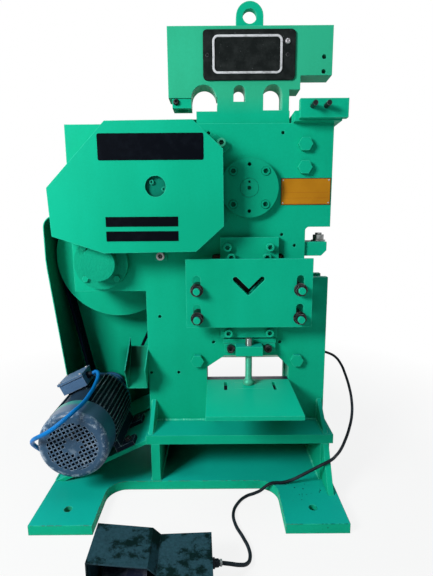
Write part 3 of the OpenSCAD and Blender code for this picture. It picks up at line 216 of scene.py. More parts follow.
floor_mesh = bpy.data.meshes.new("floor")
reach = 30.0
floor_drop = 0.0006
floor_grey = (0.66, 0.66, 0.66, 1)
shadow_r = 0.75
white_r = 1.6
shadow_whiteness = 0.86
floor_corners = [(-reach, -reach, 0), (reach, -reach, 0), (reach, reach, 0), (-reach, reach, 0)]
floor_mesh.from_pydata(floor_corners, [], [(0, 1, 2, 3)])
floor = bpy.data.objects.new("floor", floor_mesh)
floor.location.z = -floor_drop
scene.collection.objects.link(floor)
material, tree, shader = new_material("studio_floor", 0.0)
shader.inputs["Base Color"].default_value = floor_grey
shader.inputs["Roughness"].default_value = 0.9
floor_glow = shader_node(tree, "Emission", {"Color": (1, 1, 1, 1), "Strength": 1.0})
floor_place = shader_node(tree, "TexCoord").outputs["Object"]
from_middle = shader_node(tree, "VectorMath", {0: floor_place}, operation="LENGTH").outputs["Value"]
whiteness = ranged(tree, from_middle, shadow_r, white_r, shadow_whiteness, 1.0)
floor_share = calc(tree, "MULTIPLY", seen_directly(tree), whiteness)
floor_mix = shader_node(tree, "MixShader",
                        {0: floor_share, 1: shader.outputs[0], 2: floor_glow.outputs[0]})
tree.links.new(floor_mix.outputs[0], tree.nodes["Material Output"].inputs["Surface"])
floor_mesh.materials.append(material)

world_light = 0.085
world_tint = (0.92, 0.97, 1.0, 1)
world = bpy.data.worlds.new("studio")
scene.world = world
world.use_nodes = True
tree = world.node_tree
background = tree.nodes["Background"]
direct = seen_directly(tree)
feed(tree, background.inputs, {
    "Color": mixed(tree, direct, world_tint, (1, 1, 1, 1)),
    "Strength": ranged(tree, direct, 0, 1, world_light, 1.0)})


def area_light(name, place, target, size, power, colour):
    """A soft square lamp that faces a point."""
    lamp = bpy.data.lights.new(name, "AREA")
    lamp.size = size
    lamp.energy = power
    lamp.color = colour
    light = bpy.data.objects.new(name, lamp)
    light.location = place
    light.rotation_euler = (Vector(target) - Vector(place)).to_track_quat("-Z", "Y").to_euler()
    scene.collection.objects.link(light)


machine_middle = (0.0, -0.05, 0.75)
area_light("key_light", (-1.85, -1.8, 1.9), machine_middle, 0.9, 92, (1.0, 0.99, 0.97))
area_light("fill_light", (2.4, -2.6, 1.2), machine_middle, 2.2, 3, (0.95, 0.98, 1.0))
area_light("top_light", (0.0, 0.1, 3.4), machine_middle, 2.4, 36, (0.82, 0.94, 1.0))
area_light("rear_light", (-0.4, 3.0, 1.8), machine_middle, 2.2, 18, (0.95, 0.98, 1.0))


# The welded base: thick steel plate under jade enamel that was sprayed on. The paint is
# chipped at the feet and dusty on top. Its edges are pale, partly where the paint thins and
# partly a painted highlight; its corners are darkened with painted shade, and the pocket
# beside the left web is painted near black, a painted shadow.
def effect_group(name, inputs, outputs):
    """A shader group: its tree, its inputs' sockets and its outputs' sockets."""
    group = bpy.data.node_groups.new(name, "ShaderNodeTree")
    for label, kind, value in inputs:
        socket = group.interface.new_socket(label, in_out="INPUT", socket_type="NodeSocket" + kind)
        socket.default_value = value
    for label, kind in outputs:
        group.interface.new_socket(label, in_out="OUTPUT", socket_type="NodeSocket" + kind)
    inside = group.nodes.new("NodeGroupInput").outputs
    outside = group.nodes.new("NodeGroupOutput").inputs
    return group, inside, outside


def edge_turn(tree, radius):
    """1 on flat faces, and less where a rounded normal rolls over an edge."""
    flat = shader_node(tree, "NewGeometry").outputs["True Normal"]
    return shader_node(tree, "VectorMath", {0: rounded(tree, radius), 1: flat},
                       operation="DOT_PRODUCT").outputs["Value"]


def facing(tree, axis):
    """How far a face looks along one axis of the machine."""
    normal = shader_node(tree, "NewGeometry").outputs["Normal"]
    return shader_node(tree, "SeparateXYZ", {0: normal}).outputs[axis]


enamel_group, given, result = effect_group(
    "sprayed_enamel",
    [("Paint", "Color", (0.5, 0.5, 0.5, 1)), ("Deep", "Color", (0.2, 0.2, 0.2, 1)),
     ("Pale", "Color", (0.8, 0.8, 0.8, 1)), ("Dust", "Color", (0.5, 0.5, 0.5, 1)),
     ("Bare", "Color", (0.1, 0.1, 0.1, 1)), ("Wear", "Float", 0.3), ("Corner Shade", "Float", 0.5),
     ("Specks", "Float", 0.0)],
    [("Colour", "Color"), ("Roughness", "Float"), ("Height", "Float")])
tree = enamel_group
edge = ranged(tree, edge_turn(tree, 0.0035), 0.99, 0.8)
broad = noise(tree, 1.9, 2)
runs = noise(tree, 12, 3, 0.55, (1, 1, 0.22))
grain = noise(tree, 170, 3, 0.6)
tone = calc(tree, "MULTIPLY_ADD", runs, 0.3, calc(tree, "MULTIPLY", broad, 0.7))
tone = calc(tree, "MULTIPLY_ADD", grain, 0.2, tone)
painted = mixed(tree, ranged(tree, tone, 0.48, 0.72), given["Deep"], given["Paint"])
dusty = ranged(tree, facing(tree, "Z"), 0.5, 0.95, 0.0, 0.6)
painted = mixed(tree, dusty, painted, given["Dust"])
scuffs = ranged(tree, noise(tree, 24, 8, 0.75, (1, 1, 0.6)), 0.66, 0.74, 0, 0.35)
painted = mixed(tree, scuffs, painted, given["Deep"])
# Edges turn toward the Pale colour: paint thinned by wear together with a painted highlight; where Pale
# is darker than the paint it paints a shade line instead.
edge_wear_and_shading = calc(tree, "MULTIPLY", edge, ranged(tree, noise(tree, 70, 4), 0.3, 0.65, 0.25, 0.95))
painted = mixed(tree, edge_wear_and_shading, painted, given["Pale"])
# Corners and recesses, found by occlusion, turn toward the Bare colour: painted shade, as strong as
# Corner Shade.
sheltered = shader_node(tree, "AmbientOcclusion", {"Distance": 0.03}, samples=4).outputs["AO"]
painted_corner_shade = calc(tree, "MULTIPLY", ranged(tree, sheltered, 0.6, 0.1), given["Corner Shade"])
painted = mixed(tree, painted_corner_shade, painted, given["Bare"])
chip_noise = noise(tree, 55, 6, 0.7)
chip_limit = ranged(tree, given["Wear"], 0, 1, 0.8, 0.42)
chip_depth = calc(tree, "SUBTRACT", chip_noise, chip_limit)
chips = calc(tree, "MULTIPLY", ranged(tree, chip_depth, 0, 0.03), edge)
speck_place = shader_node(tree, "TexCoord").outputs["Object"]
speck_cells = shader_node(tree, "TexVoronoi", {"Scale": 85.0, "Vector": speck_place})
speck_spread = ranged(tree, noise(tree, 9, 3), 0.5, 0.7, 0.0, 0.34)
speck_size = calc(tree, "MULTIPLY", given["Specks"], speck_spread)
specks = ranged(tree, calc(tree, "SUBTRACT", speck_size, speck_cells.outputs["Distance"]), 0, 0.04)
bare = calc(tree, "MAXIMUM", chips, specks)
dulled = calc(tree, "MAXIMUM", bare, painted_corner_shade)
sheen = ranged(tree, noise(tree, 9, 4), 0.3, 0.7, 0.4, 0.55)
peel = calc(tree, "ADD", noise(tree, 320, 2), noise(tree, 40, 3))
feed(tree, result, {
    "Colour": mixed(tree, bare, painted, given["Bare"]),
    "Roughness": calc(tree, "MULTIPLY_ADD", dulled, 0.35, sheen),
    "Height": calc(tree, "MULTIPLY_ADD", bare, -1.5, peel)})


def enamel_look(tree, paint, deep, pale, dust, bare, wear, grime, specks=0.0):
    """The sprayed enamel in a material, with its colours, wear and painted corner shade."""
    values = {"Paint": paint, "Deep": deep, "Pale": pale, "Dust": dust, "Bare": bare,
              "Wear": wear, "Corner Shade": grime, "Specks": specks}
    return shader_node(tree, "Group", values, node_tree=enamel_group).outputs


enamel_specular = 0.035
plate_round = 0.0016
sheet_round = 0.0012
screw_round = 0.001


def paint_over(tree, shader, look, round_edge, peel=0.06):
    """Joins an enamel to a shader, over slightly rounded edges."""
    shader.inputs["Specular IOR Level"].default_value = enamel_specular
    feed(tree, shader.inputs, {
        "Base Color": look["Colour"],
        "Roughness": look["Roughness"],
        "Normal": bump(tree, look["Height"], peel, 0.003, rounded(tree, round_edge))})


def enamel(name, round_edge, peel=0.06, **colours_and_wear):
    """A painted metal with worn, slightly rounded edges."""
    material, tree, shader = new_material(name)
    paint_over(tree, shader, enamel_look(tree, **colours_and_wear), round_edge, peel)
    return material


def object_axis(tree, axis):
    """A coordinate along one axis of the machine."""
    place = shader_node(tree, "TexCoord").outputs["Object"]
    return shader_node(tree, "SeparateXYZ", {0: place}).outputs[axis]


def tinted(tree, mask, colours, others):
    """An enamel's colours, with other ones in their place where the mask is 1."""
    changed = {label: mixed(tree, mask, colours[label], other) for label, other in others.items()}
    return {**colours, **changed}


def paint_nodes(material, *names):
    """Gives CAD nodes a material."""
    for name in names:
        slots = nodes[name].data.materials
        slots.clear()
        slots.append(material)


jade_paint = {"paint": (0.004, 0.46, 0.275, 1), "deep": (0.003, 0.39, 0.225, 1),
              "pale": (0.05, 0.66, 0.44, 1), "dust": (0.005, 0.41, 0.36, 1),
              "bare": (0.005, 0.05, 0.035, 1)}
jade_enamel = enamel("jade_enamel", plate_round, wear=0.2, grime=0.4, **jade_paint)
paint_nodes(jade_enamel, "base_flange", "base_gussets", "motor_plate")
web_low, web_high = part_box("base_webs")
grime_black = (0.001, 0.012, 0.009, 1)


def corner_grime(tree, colours):
    """Paint that is painted near black beside the left web, under the flange: a painted shadow in the
    pocket.
    """
    across = object_axis(tree, "X")
    by_web = calc(tree, "MULTIPLY", ranged(tree, across, web_low.x + 0.17, web_low.x + 0.04, 0, 0.93),
                  ranged(tree, across, web_low.x + 0.020, web_low.x + 0.026))
    grime = calc(tree, "MULTIPLY", by_web,
                 ranged(tree, object_axis(tree, "Y"), web_low.y + 0.01, web_low.y + 0.12))
    return tinted(tree, grime, colours, dict.fromkeys(("paint", "deep", "dust"), grime_black))


# The webs and the base plate take the pocket's painted shadow beside the left web.
material, tree, shader = new_material("web_enamel")
web_paint = corner_grime(tree, jade_paint)
paint_over(tree, shader, enamel_look(tree, wear=0.2, grime=0.4, **web_paint), plate_round)
paint_nodes(material, "base_webs")
material, tree, shader = new_material("foot_enamel")
base_low, base_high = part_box("base_plate")
right_side = ranged(tree, object_axis(tree, "X"), base_high.x - 0.16, base_high.x - 0.12)
right_foot = calc(tree, "MULTIPLY", right_side,
                  ranged(tree, object_axis(tree, "Y"), base_low.y + 0.22, base_low.y + 0.18))
chip_colour = mixed(tree, right_foot, (0.10, 0.075, 0.07, 1), (0.004, 0.022, 0.026, 1))
foot_paint = corner_grime(tree, {**jade_paint, "dust": (0.005, 0.42, 0.40, 1), "bare": chip_colour})
foot_look = enamel_look(tree, wear=0.8, grime=0.25, specks=right_foot, **foot_paint)
paint_over(tree, shader, foot_look, plate_round)
paint_nodes(material, "base_plate")

# The frame: two flame-cut plates, the bars between them and the bolts that draw them
# together, all painted after assembly, with guards, table and tool seats bolted on.
paint_nodes(jade_enamel, "front_plate", "rear_plate", "frame_spacers", "tie_bolts",
            "gear_guard", "clamp_plate", "guide_studs", "hold_down_bracket",
            "notch_bolster", "notch_stop", "bar_block", "control_box", "lifting_eye",
            "punch_holder", "flywheel", "angle_guard")

# The ram: a thick plate that slides between the frame's plates. It has the frame's enamel,
# painted paler on the part that stands above the frame: a painted haze of back light.
material, tree, shader = new_material("painted_haze_enamel")
frame_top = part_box("front_plate")[1].z
painted_haze = ranged(tree, object_axis(tree, "Z"), frame_top + 0.03, frame_top + 0.08)
painted_haze_paint = tinted(tree, painted_haze, jade_paint, {"paint": (0.030, 0.46, 0.265, 1),
                                               "deep": (0.026, 0.39, 0.218, 1)})
paint_over(tree, shader, enamel_look(tree, wear=0.2, grime=0.4, **painted_haze_paint), plate_round)
paint_nodes(material, "ram")

# The belt guard behind the frame: an open box of steel sheet in the same enamel. Its inner
# faces are painted near black, a painted shade, and its front beside the motor is painted dark,
# a painted shadow of the motor.
material, tree, shader = new_material("shaded_guard")
painted_inner_shade_x = (-0.2, -0.25)
painted_motor_shadow_x = (-0.30, -0.24)
painted_motor_shadow_z = (0.35, 0.32)
guard_x = object_axis(tree, "X")
painted_inner_shade = calc(tree, "MULTIPLY", ranged(tree, facing(tree, "X"), 0.4, 0.7, 0, 0.65),
                 ranged(tree, guard_x, *painted_inner_shade_x))
painted_motor_shadow = calc(tree, "MULTIPLY", ranged(tree, guard_x, *painted_motor_shadow_x),
            ranged(tree, object_axis(tree, "Z"), *painted_motor_shadow_z, 0, 0.9))
painted_motor_shadow = calc(tree, "MULTIPLY", painted_motor_shadow, ranged(tree, facing(tree, "Y"), -0.5, -0.8))
shaded_guard_paint = tinted(tree, calc(tree, "MAXIMUM", painted_inner_shade, painted_motor_shadow), jade_paint,
                     {"paint": (0.001, 0.016, 0.012, 1), "deep": grime_black})
paint_over(tree, shader, enamel_look(tree, wear=0.2, grime=0.4, **shaded_guard_paint), plate_round)
paint_nodes(material, "rear_guard")

# The eccentric's round cover, the painted screws and the disc behind the octagon's hole:
# turned steel, painted in place. Painted shade darkens them: the octagon's painted shadow on the
# cover and its screws, with dark painted lines at the cover's edges, a darker painted shade on
# the disc in the hole, and near-black painted shade in corners and sockets.
shaded_paint = {**jade_paint, "bare": (0.002, 0.02, 0.014, 1)}
cover_shadow_paint = {**shaded_paint, "paint": (0.004, 0.39, 0.228, 1), "deep": (0.003, 0.33, 0.190, 1),
               "pale": (0.003, 0.22, 0.13, 1)}
paint_nodes(enamel("cover_shadow_enamel", sheet_round, wear=0.2, grime=1.0, **cover_shadow_paint), "eccentric_cover")
material, tree, shader = new_material("screw_enamel")
cover_low, cover_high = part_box("eccentric_cover")
screw_height = object_axis(tree, "Z")
# Screws on the cover take the cover's painted shadow.
on_cover = calc(tree, "MULTIPLY", ranged(tree, screw_height, cover_low.z - 0.005, cover_low.z + 0.005),
                ranged(tree, screw_height, cover_high.z + 0.005, cover_high.z - 0.005))
screw_colours = tinted(tree, on_cover, shaded_paint,
                       {label: cover_shadow_paint[label] for label in ("paint", "deep", "pale")})
paint_over(tree, shader, enamel_look(tree, wear=0.25, grime=1.0, **screw_colours), screw_round)
paint_nodes(material, "painted_screws")
hole_shade_paint = {**shaded_paint, "paint": (0.002, 0.24, 0.155, 1), "deep": (0.002, 0.15, 0.10, 1)}
paint_nodes(enamel("hole_shade_enamel", screw_round, wear=0.2, grime=1.0, **hole_shade_paint), "inching_disc")

# The shear table and the flywheel's bearing housing: the table's thin paint is rubbed
# pale by the work, and the rough cast housing has a thick coat. The table's upward faces are
# painted a brighter green, a painted top light. The housing's edges are painted a little darker,
# a painted shade line, and its corners get painted shade.
thin_paint = {**jade_paint, "dust": (0.004, 0.54, 0.36, 1), "bare": (0.16, 0.42, 0.33, 1)}
table_enamel = enamel("table_enamel", plate_round, wear=0.5, grime=0.0, **thin_paint)
paint_nodes(table_enamel, "shear_table")
thick_paint = {**jade_paint, "paint": (0.004, 0.38, 0.225, 1), "deep": (0.003, 0.32, 0.185, 1),
               "pale": (0.006, 0.36, 0.22, 1)}
thick_enamel = enamel("thick_enamel", plate_round, peel=0.5, wear=0.2, grime=0.6, **thick_paint)
paint_nodes(thick_enamel, "flywheel_housing")

# The scrap chute: bent steel sheet beside the column, painted a darker green as painted shade.
# Its trough is painted near black, a painted shade, and only its lip and its flank keep the paint.
material, tree, shader = new_material("shaded_chute_enamel")
chute_low, chute_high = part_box("scrap_chute")
off_lip = ranged(tree, object_axis(tree, "Z"), chute_low.z + 0.03, chute_low.z + 0.06)
off_flank = ranged(tree, object_axis(tree, "X"), chute_high.x - 0.008, chute_high.x - 0.03)
chute_paint = {**jade_paint, "paint": (0.003, 0.31, 0.185, 1), "deep": (0.002, 0.26, 0.15, 1)}
shaded_chute_paint = tinted(tree, calc(tree, "MULTIPLY", off_lip, off_flank), chute_paint,
                    {"paint": (0.001, 0.035, 0.016, 1), "deep": (0.001, 0.022, 0.010, 1)})
paint_over(tree, shader, enamel_look(tree, wear=0.3, grime=0.8, **shaded_chute_paint), sheet_round)
paint_nodes(material, "scrap_chute")


# Weld beads: hand-laid fillets with ripples, painted over in a paler green with bright edges:
# a painted highlight. They join the column to its flange, the gussets and webs to the base, the
# sloped plate, the guard's tabs and the eye.
def finish_piece(form, name, material, body, sharp=35):
    """A new piece from a mesh, smooth but for its sharp edges, on a body."""
    bmesh.ops.recalc_face_normals(form, faces=form.faces)
    mesh = bpy.data.meshes.new(name)
    form.to_mesh(mesh)
    form.free()
    mesh.materials.append(material)
    mesh.shade_smooth()
    mesh.set_sharp_from_angle(angle=math.radians(sharp))
    piece = bpy.data.objects.new(name, mesh)
    scene.collection.objects.link(piece)
    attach(piece, body)
    return piece


def skin_rings(form, rings):
    """Faces between rings of points, closed at both ends."""
    made = [[form.verts.new(point) for point in ring] for ring in rings]
    for lower, upper in zip(made, made[1:]):
        for k in range(len(lower)):
            j = (k + 1) % len(lower)
            form.faces.new((lower[k], lower[j], upper[j], upper[k]))
    form.faces.new(reversed(made[0]))
    form.faces.new(made[-1])


ripple_draw = random.Random(11)
bead_sides = 9
bead_step = 0.0019


def add_bead(form, start, end, radius):
    """A rippled bead from one point to another."""
    start = Vector(start)
    end = Vector(end)
    along = (end - start).normalized()
    side = along.orthogonal().normalized()
    up = along.cross(side)
    count = max(6, int((end - start).length / bead_step))
    rings = []
    for i in range(count + 1):
        ripple = 1 + 0.1 * math.sin(1.9 * i) + ripple_draw.uniform(-0.09, 0.09)
        taper = min(1.0, (min(i, count - i) + 0.7) / 3)
        middle = start.lerp(end, i / count) + up * ripple_draw.uniform(-0.0004, 0.0004)
        turns = [2 * math.pi * k / bead_sides for k in range(bead_sides)]
        reach_out = radius * ripple * taper
        rings.append([middle + reach_out * (math.cos(a) * side + math.sin(a) * up) for a in turns])
    skin_rings(form, rings)


lit_weld_paint = {"paint": (0.010, 0.54, 0.34, 1), "deep": (0.006, 0.44, 0.27, 1),
              "pale": (0.22, 0.78, 0.60, 1), "dust": (0.006, 0.48, 0.36, 1), "bare": jade_paint["bare"]}
lit_weld_enamel = enamel("lit_weld_enamel", 0.0008, wear=0.1, grime=0.2, **lit_weld_paint)
flange_low, flange_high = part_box("base_flange")
plate_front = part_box("front_plate")[0].y
plate_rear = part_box("rear_plate")[1].y
column_left = flange_low.x - 0.001
column_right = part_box("front_plate")[1].x
column_foot = flange_high.z
web_t = 0.026
gusset_t = 0.012
gusset_rise = 0.070
gusset_out = 0.088
column_bead = 0.0046
gusset_bead = 0.0036
web_bead = 0.004
thin_bead = 0.0035
tab_bead = 0.003
frame_beads = bmesh.new()
for y in (plate_front, plate_rear):
    add_bead(frame_beads, (column_left + 0.004, y, column_foot),
             (column_right - 0.004, y, column_foot), column_bead)
for gusset_x in (column_left + 0.008, column_right - 0.020):
    for x in (gusset_x, gusset_x + gusset_t):
        for y, out in ((plate_front, -gusset_out), (plate_rear, gusset_out)):
            add_bead(frame_beads, (x, y, column_foot), (x, y, column_foot + gusset_rise), gusset_bead)
            add_bead(frame_beads, (x, y, column_foot), (x, y + out, column_foot), gusset_bead)
for z in (web_low.z, web_high.z):
    for x in (web_low.x, web_low.x + web_t, web_high.x - web_t):
        add_bead(frame_beads, (x, web_low.y + 0.002, z), (x, web_high.y - 0.002, z), web_bead)
    for y in (web_high.y - web_t, web_high.y):
        add_bead(frame_beads, (web_low.x + web_t, y, z), (web_high.x - web_t, y, z), web_bead)
slope_low, slope_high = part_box("motor_plate")
add_bead(frame_beads, (slope_high.x, slope_low.y + 0.003, slope_high.z),
         (slope_high.x, slope_high.y - 0.003, slope_high.z), web_bead)
add_bead(frame_beads, (slope_low.x, slope_low.y + 0.003, slope_low.z),
         (slope_low.x, slope_high.y - 0.003, slope_low.z), thin_bead)
tab_front = plate_front - 0.006
tab_ends = (((0.053, 1.042), (0.090, 1.008)), ((-0.106, 0.7255), (-0.075, 0.7258)))
for (x0, z0), (x1, z1) in tab_ends:
    add_bead(frame_beads, (x0, tab_front, z0), (x1, tab_front, z1), tab_bead)
finish_piece(frame_beads, "frame_weld_beads", lit_weld_enamel, "frame", 80)
eye_low, eye_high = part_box("lifting_eye")
eye_beads = bmesh.new()
for y in (eye_low.y, eye_high.y):
    add_bead(eye_beads, (eye_low.x + 0.002, y, eye_low.z), (eye_high.x - 0.002, y, eye_low.z),
             thin_bead)
finish_piece(eye_beads, "eye_weld_beads", lit_weld_enamel, "ram", 80)

# Shafts, gears, moving blades and bushes: machined steel with oil stains, bearing bronze,
# and oiled black screws. The eccentric shaft's front end was painted with its cover.
steel_group, given, result = effect_group(
    "worked_steel",
    [("Metal", "Color", (0.5, 0.5, 0.5, 1)), ("Stain", "Color", (0.2, 0.1, 0.05, 1)),
     ("Stained", "Float", 0.3), ("Rubbed Shine", "Float", 0.3)],
    [("Colour", "Color"), ("Roughness", "Float"), ("Height", "Float")])
tree = steel_group
stain = calc(tree, "MULTIPLY", ranged(tree, noise(tree, 26, 6, 0.65), 0.42, 0.72), given["Stained"])
# Edges turn light grey: rubbed bare metal together with a painted glint.
rubbed_shine = calc(tree, "MULTIPLY", ranged(tree, edge_turn(tree, 0.0025), 0.985, 0.85), given["Rubbed Shine"])
rubbed_shine = calc(tree, "MULTIPLY", rubbed_shine, ranged(tree, noise(tree, 60, 4), 0.4, 0.6))
stained_metal = mixed(tree, stain, given["Metal"], given["Stain"])
feed(tree, result, {
    "Colour": mixed(tree, rubbed_shine, stained_metal, (0.40, 0.42, 0.42, 1)),
    "Roughness": ranged(tree, stain, 0, 1, 0.28, 0.75),
    "Height": noise(tree, 300, 3, 0.6, (1, 1, 0.2))})


def steel_look(tree, metal, stain_colour, stained, rubbed_shine=0.3):
    """The worked steel in a material, with its colours."""
    values = {"Metal": metal, "Stain": stain_colour, "Stained": stained, "Rubbed Shine": rubbed_shine}
    return shader_node(tree, "Group", values, node_tree=steel_group).outputs


def worked_metal(name, metal, stain_colour, stained, metallic, rubbed_shine=0.3):
    """A machined metal with stains."""
    material, tree, shader = new_material(name, 0.15)
    look = steel_look(tree, metal, stain_colour, stained, rubbed_shine)
    shader.inputs["Metallic"].default_value = metallic
    feed(tree, shader.inputs, {
        "Base Color": look["Colour"],
        "Roughness": look["Roughness"],
        "Normal": bump(tree, look["Height"], 0.12, 0.002, rounded(tree, 0.0008))})
    return material


def part_painted(name, colours, painted_share, axis, bare_side, painted_side, wear):
    """Steel that is painted on one side of a line across the machine."""
    material, tree, shader = new_material(name, 0.06)
    steel = steel_look(tree, (0.22, 0.27, 0.26, 1), (0.10, 0.13, 0.12, 1), 0.6)
    paint = enamel_look(tree, wear=wear, grime=0.8, **colours)
    past_line = ranged(tree, object_axis(tree, axis), bare_side, painted_side)
    covered = calc(tree, "MULTIPLY", past_line, painted_share)
    thin = calc(tree, "MULTIPLY", ranged(tree, noise(tree, 90, 5, 0.7), 0.62, 0.7), wear)
    covered = calc(tree, "MAXIMUM", calc(tree, "SUBTRACT", covered, thin), 0.0)
    feed(tree, shader.inputs, {
        "Base Color": mixed(tree, covered, steel["Colour"], paint["Colour"]),
        "Metallic": calc(tree, "MULTIPLY_ADD", covered, -0.85, 0.85),
        "Roughness": ranged(tree, covered, 0, 1, 0.33, 0.42),
        "Normal": bump(tree, steel["Height"], 0.1, 0.002, rounded(tree, 0.0008))})
    return material


bright_steel = worked_metal("bright_steel", (0.52, 0.52, 0.50, 1), (0.2, 0.13, 0.08, 1), 0.5, 0.9)
zinc_steel = worked_metal("zinc_steel", (0.40, 0.40, 0.42, 1), (0.10, 0.09, 0.10, 1), 0.9, 0.8)
black_steel = worked_metal("black_steel", (0.007, 0.008, 0.010, 1), (0.015, 0.017, 0.021, 1),
                           0.6, 0.0, 0.55)
bronze = worked_metal("bearing_bronze", (0.46, 0.27, 0.10, 1), (0.16, 0.09, 0.04, 1), 0.5, 0.9)
paint_nodes(bright_steel, "moving_blades", "bull_gear", "intermediate_shaft", "intermediate_gear",
            "flywheel_shaft")
paint_nodes(black_steel, "black_screws", "stud_nuts", "motor_shaft")
paint_nodes(bronze, "slide_guides", "bearing_bushes", "eccentric_ring")
paint_nodes(rubber, "cable_glands")
# The shaft's painted end takes the cover's colours, with their painted shadow.
shaft_end = part_painted("painted_shaft_end", cover_shadow_paint, 1.0, "Y",
                         plate_front + 0.002, plate_front + 0.001, 0.1)
paint_nodes(shaft_end, "eccentric_shaft")

# The bare socket-head screws: zinc-plated steel, their sockets painted near black, a painted
# shade. The one in the guard's upper tab was sprayed over with the guard.
material, tree, shader = new_material("socket_screws", 0.1)
zinc = steel_look(tree, (0.36, 0.37, 0.37, 1), (0.09, 0.09, 0.09, 1), 0.9)
upper_tab_z = 0.90
oversprayed = ranged(tree, object_axis(tree, "Z"), upper_tab_z, upper_tab_z + 0.02, 0, 0.85)
zinc_colour = mixed(tree, oversprayed, zinc["Colour"], jade_paint["deep"])
socket_shade = shader_node(tree, "AmbientOcclusion", {"Distance": 0.012}, samples=4).outputs["AO"]
shader.inputs["Metallic"].default_value = 0.7
feed(tree, shader.inputs, {
    "Base Color": mixed(tree, ranged(tree, socket_shade, 0.75, 0.45), zinc_colour, (0.002, 0.003, 0.003, 1)),
    "Roughness": calc(tree, "ADD", zinc["Roughness"], 0.1),
    "Normal": bump(tree, zinc["Height"], 0.12, 0.002, rounded(tree, 0.0012))})
paint_nodes(material, "bare_screws")

# The drive belts: black rubber V-belts from the motor's pulley to the flywheel, dull with
# their own dust.
material, tree, shader = new_material("belt_rubber", 0.02)
belt_wear = ranged(tree, noise(tree, 30, 4, 0.6, (1, 1, 0.2)), 0.4, 0.7)
feed(tree, shader.inputs, {
    "Base Color": mixed(tree, belt_wear, (0.0015, 0.0035, 0.009, 1), (0.003, 0.008, 0.018, 1)),
    "Roughness": ranged(tree, belt_wear, 0, 1, 0.6, 0.8)})
paint_nodes(material, "drive_belts")

# The fixed blades: hardened steel, screwed to the frame. They are brown above the angle
# guard, black in its shade and blued below it.
material, tree, shader = new_material("blade_steel", 0.1)
blade = steel_look(tree, (0.15, 0.075, 0.05, 1), (0.05, 0.03, 0.022, 1), 0.5, 0.0)
guard_low, guard_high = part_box("angle_guard")
behind_guard = ranged(tree, object_axis(tree, "Z"), guard_high.z, guard_high.z - 0.012)
blued = ranged(tree, object_axis(tree, "Z"), guard_low.z, guard_low.z - 0.01)
blade_colour = mixed(tree, behind_guard, blade["Colour"], (0.006, 0.005, 0.005, 1))
feed(tree, shader.inputs, {
    "Base Color": mixed(tree, blued, blade_colour, (0.006, 0.012, 0.030, 1)),
    "Roughness": blade["Roughness"],
    "Normal": bump(tree, blade["Height"], 0.12, 0.002, rounded(tree, 0.0008))})
paint_nodes(material, "fixed_blades")


# The hold-down screw: a threaded steel rod with a swivel foot. Paint covers it below
# its block, and the thread's top end stays bare.
def add_lathe(form, profile, place, sides=32):
    """A round form: the profile's radii and heights, up the Z axis of its place."""
    turns = [2 * math.pi * k / sides for k in range(sides)]
    rings = [[place @ Vector((r * math.cos(a), r * math.sin(a), h)) for a in turns] for r, h in profile]
    skin_rings(form, rings)


screw_low, screw_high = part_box("hold_down_screw")
screw_middle = (screw_low + screw_high) / 2
screw_place = Matrix.Translation((screw_middle.x, screw_middle.y, screw_low.z))
screw_l = screw_high.z - screw_low.z
foot_r = (screw_high.x - screw_low.x) / 2
screw_r = foot_r - 0.0065
thread_depth = 0.0010
thread_pitch = 0.0030
thread_steps = 8
thread_sides = 32
foot_profile = [(foot_r - 0.0020, 0), (foot_r - 0.0005, 0.0008), (foot_r, 0.003), (foot_r, 0.008),
                (foot_r - 0.0015, 0.0115), (foot_r - 0.0040, 0.0145), (foot_r - 0.0057, 0.017),
                (screw_r - 0.0008, 0.018)]
screw_form = bmesh.new()
add_lathe(screw_form, foot_profile, screw_place)
thread_rings = []
ring_count = int((screw_l - foot_profile[-1][1] - 0.002) / thread_pitch * thread_steps)
for i in range(ring_count + 1):
    height = foot_profile[-1][1] + 0.0002 + i * thread_pitch / thread_steps
    ring = []
    for k in range(thread_sides):
        phase = (i / thread_steps - k / thread_sides) % 1
        radius = screw_r - thread_depth * abs(2 * phase - 1)
        angle = 2 * math.pi * k / thread_sides
        ring.append(screw_place @ Vector((radius * math.cos(angle), radius * math.sin(angle), height)))
    thread_rings.append(ring)
skin_rings(screw_form, thread_rings)
add_lathe(screw_form, [(screw_r - 0.0012, screw_l - 0.003), (screw_r - 0.0012, screw_l - 0.001),
                       (screw_r - 0.0022, screw_l)], screw_place)
bracket_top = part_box("hold_down_bracket")[1].z
screw_paint = part_painted("painted_screw", thin_paint, 0.75, "Z",
                           bracket_top - 0.002, bracket_top - 0.012, 0.6)
hold_down = finish_piece(screw_form, "threaded_hold_down", screw_paint, "hold_down", 50)
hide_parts("hold_down_screw")


# The octagonal guard's bare panels: thin black sheets stuck to its face, one wide and
# two narrow, left blank.
def add_panel(form, x0, x1, z0, z1, y, thick, corner):
    """A thin upright sheet with round corners, its back at y."""
    outline = []
    for cx, cz, start in ((x1 - corner, z1 - corner, 0), (x0 + corner, z1 - corner, 90),
                          (x0 + corner, z0 + corner, 180), (x1 - corner, z0 + corner, 270)):
        for step in range(7):
            angle = math.radians(start + 15 * step)
            outline.append((cx + corner * math.cos(angle), cz + corner * math.sin(angle)))
    middle_x = (x0 + x1) / 2
    middle_z = (z0 + z1) / 2
    inset = [(x + math.copysign(thick / 2, middle_x - x), z + math.copysign(thick / 2, middle_z - z))
             for x, z in outline]
    skin_rings(form, [[Vector((x, y, z)) for x, z in outline],
                      [Vector((x, y - thick / 2, z)) for x, z in outline],
                      [Vector((x, y - thick, z)) for x, z in inset]])


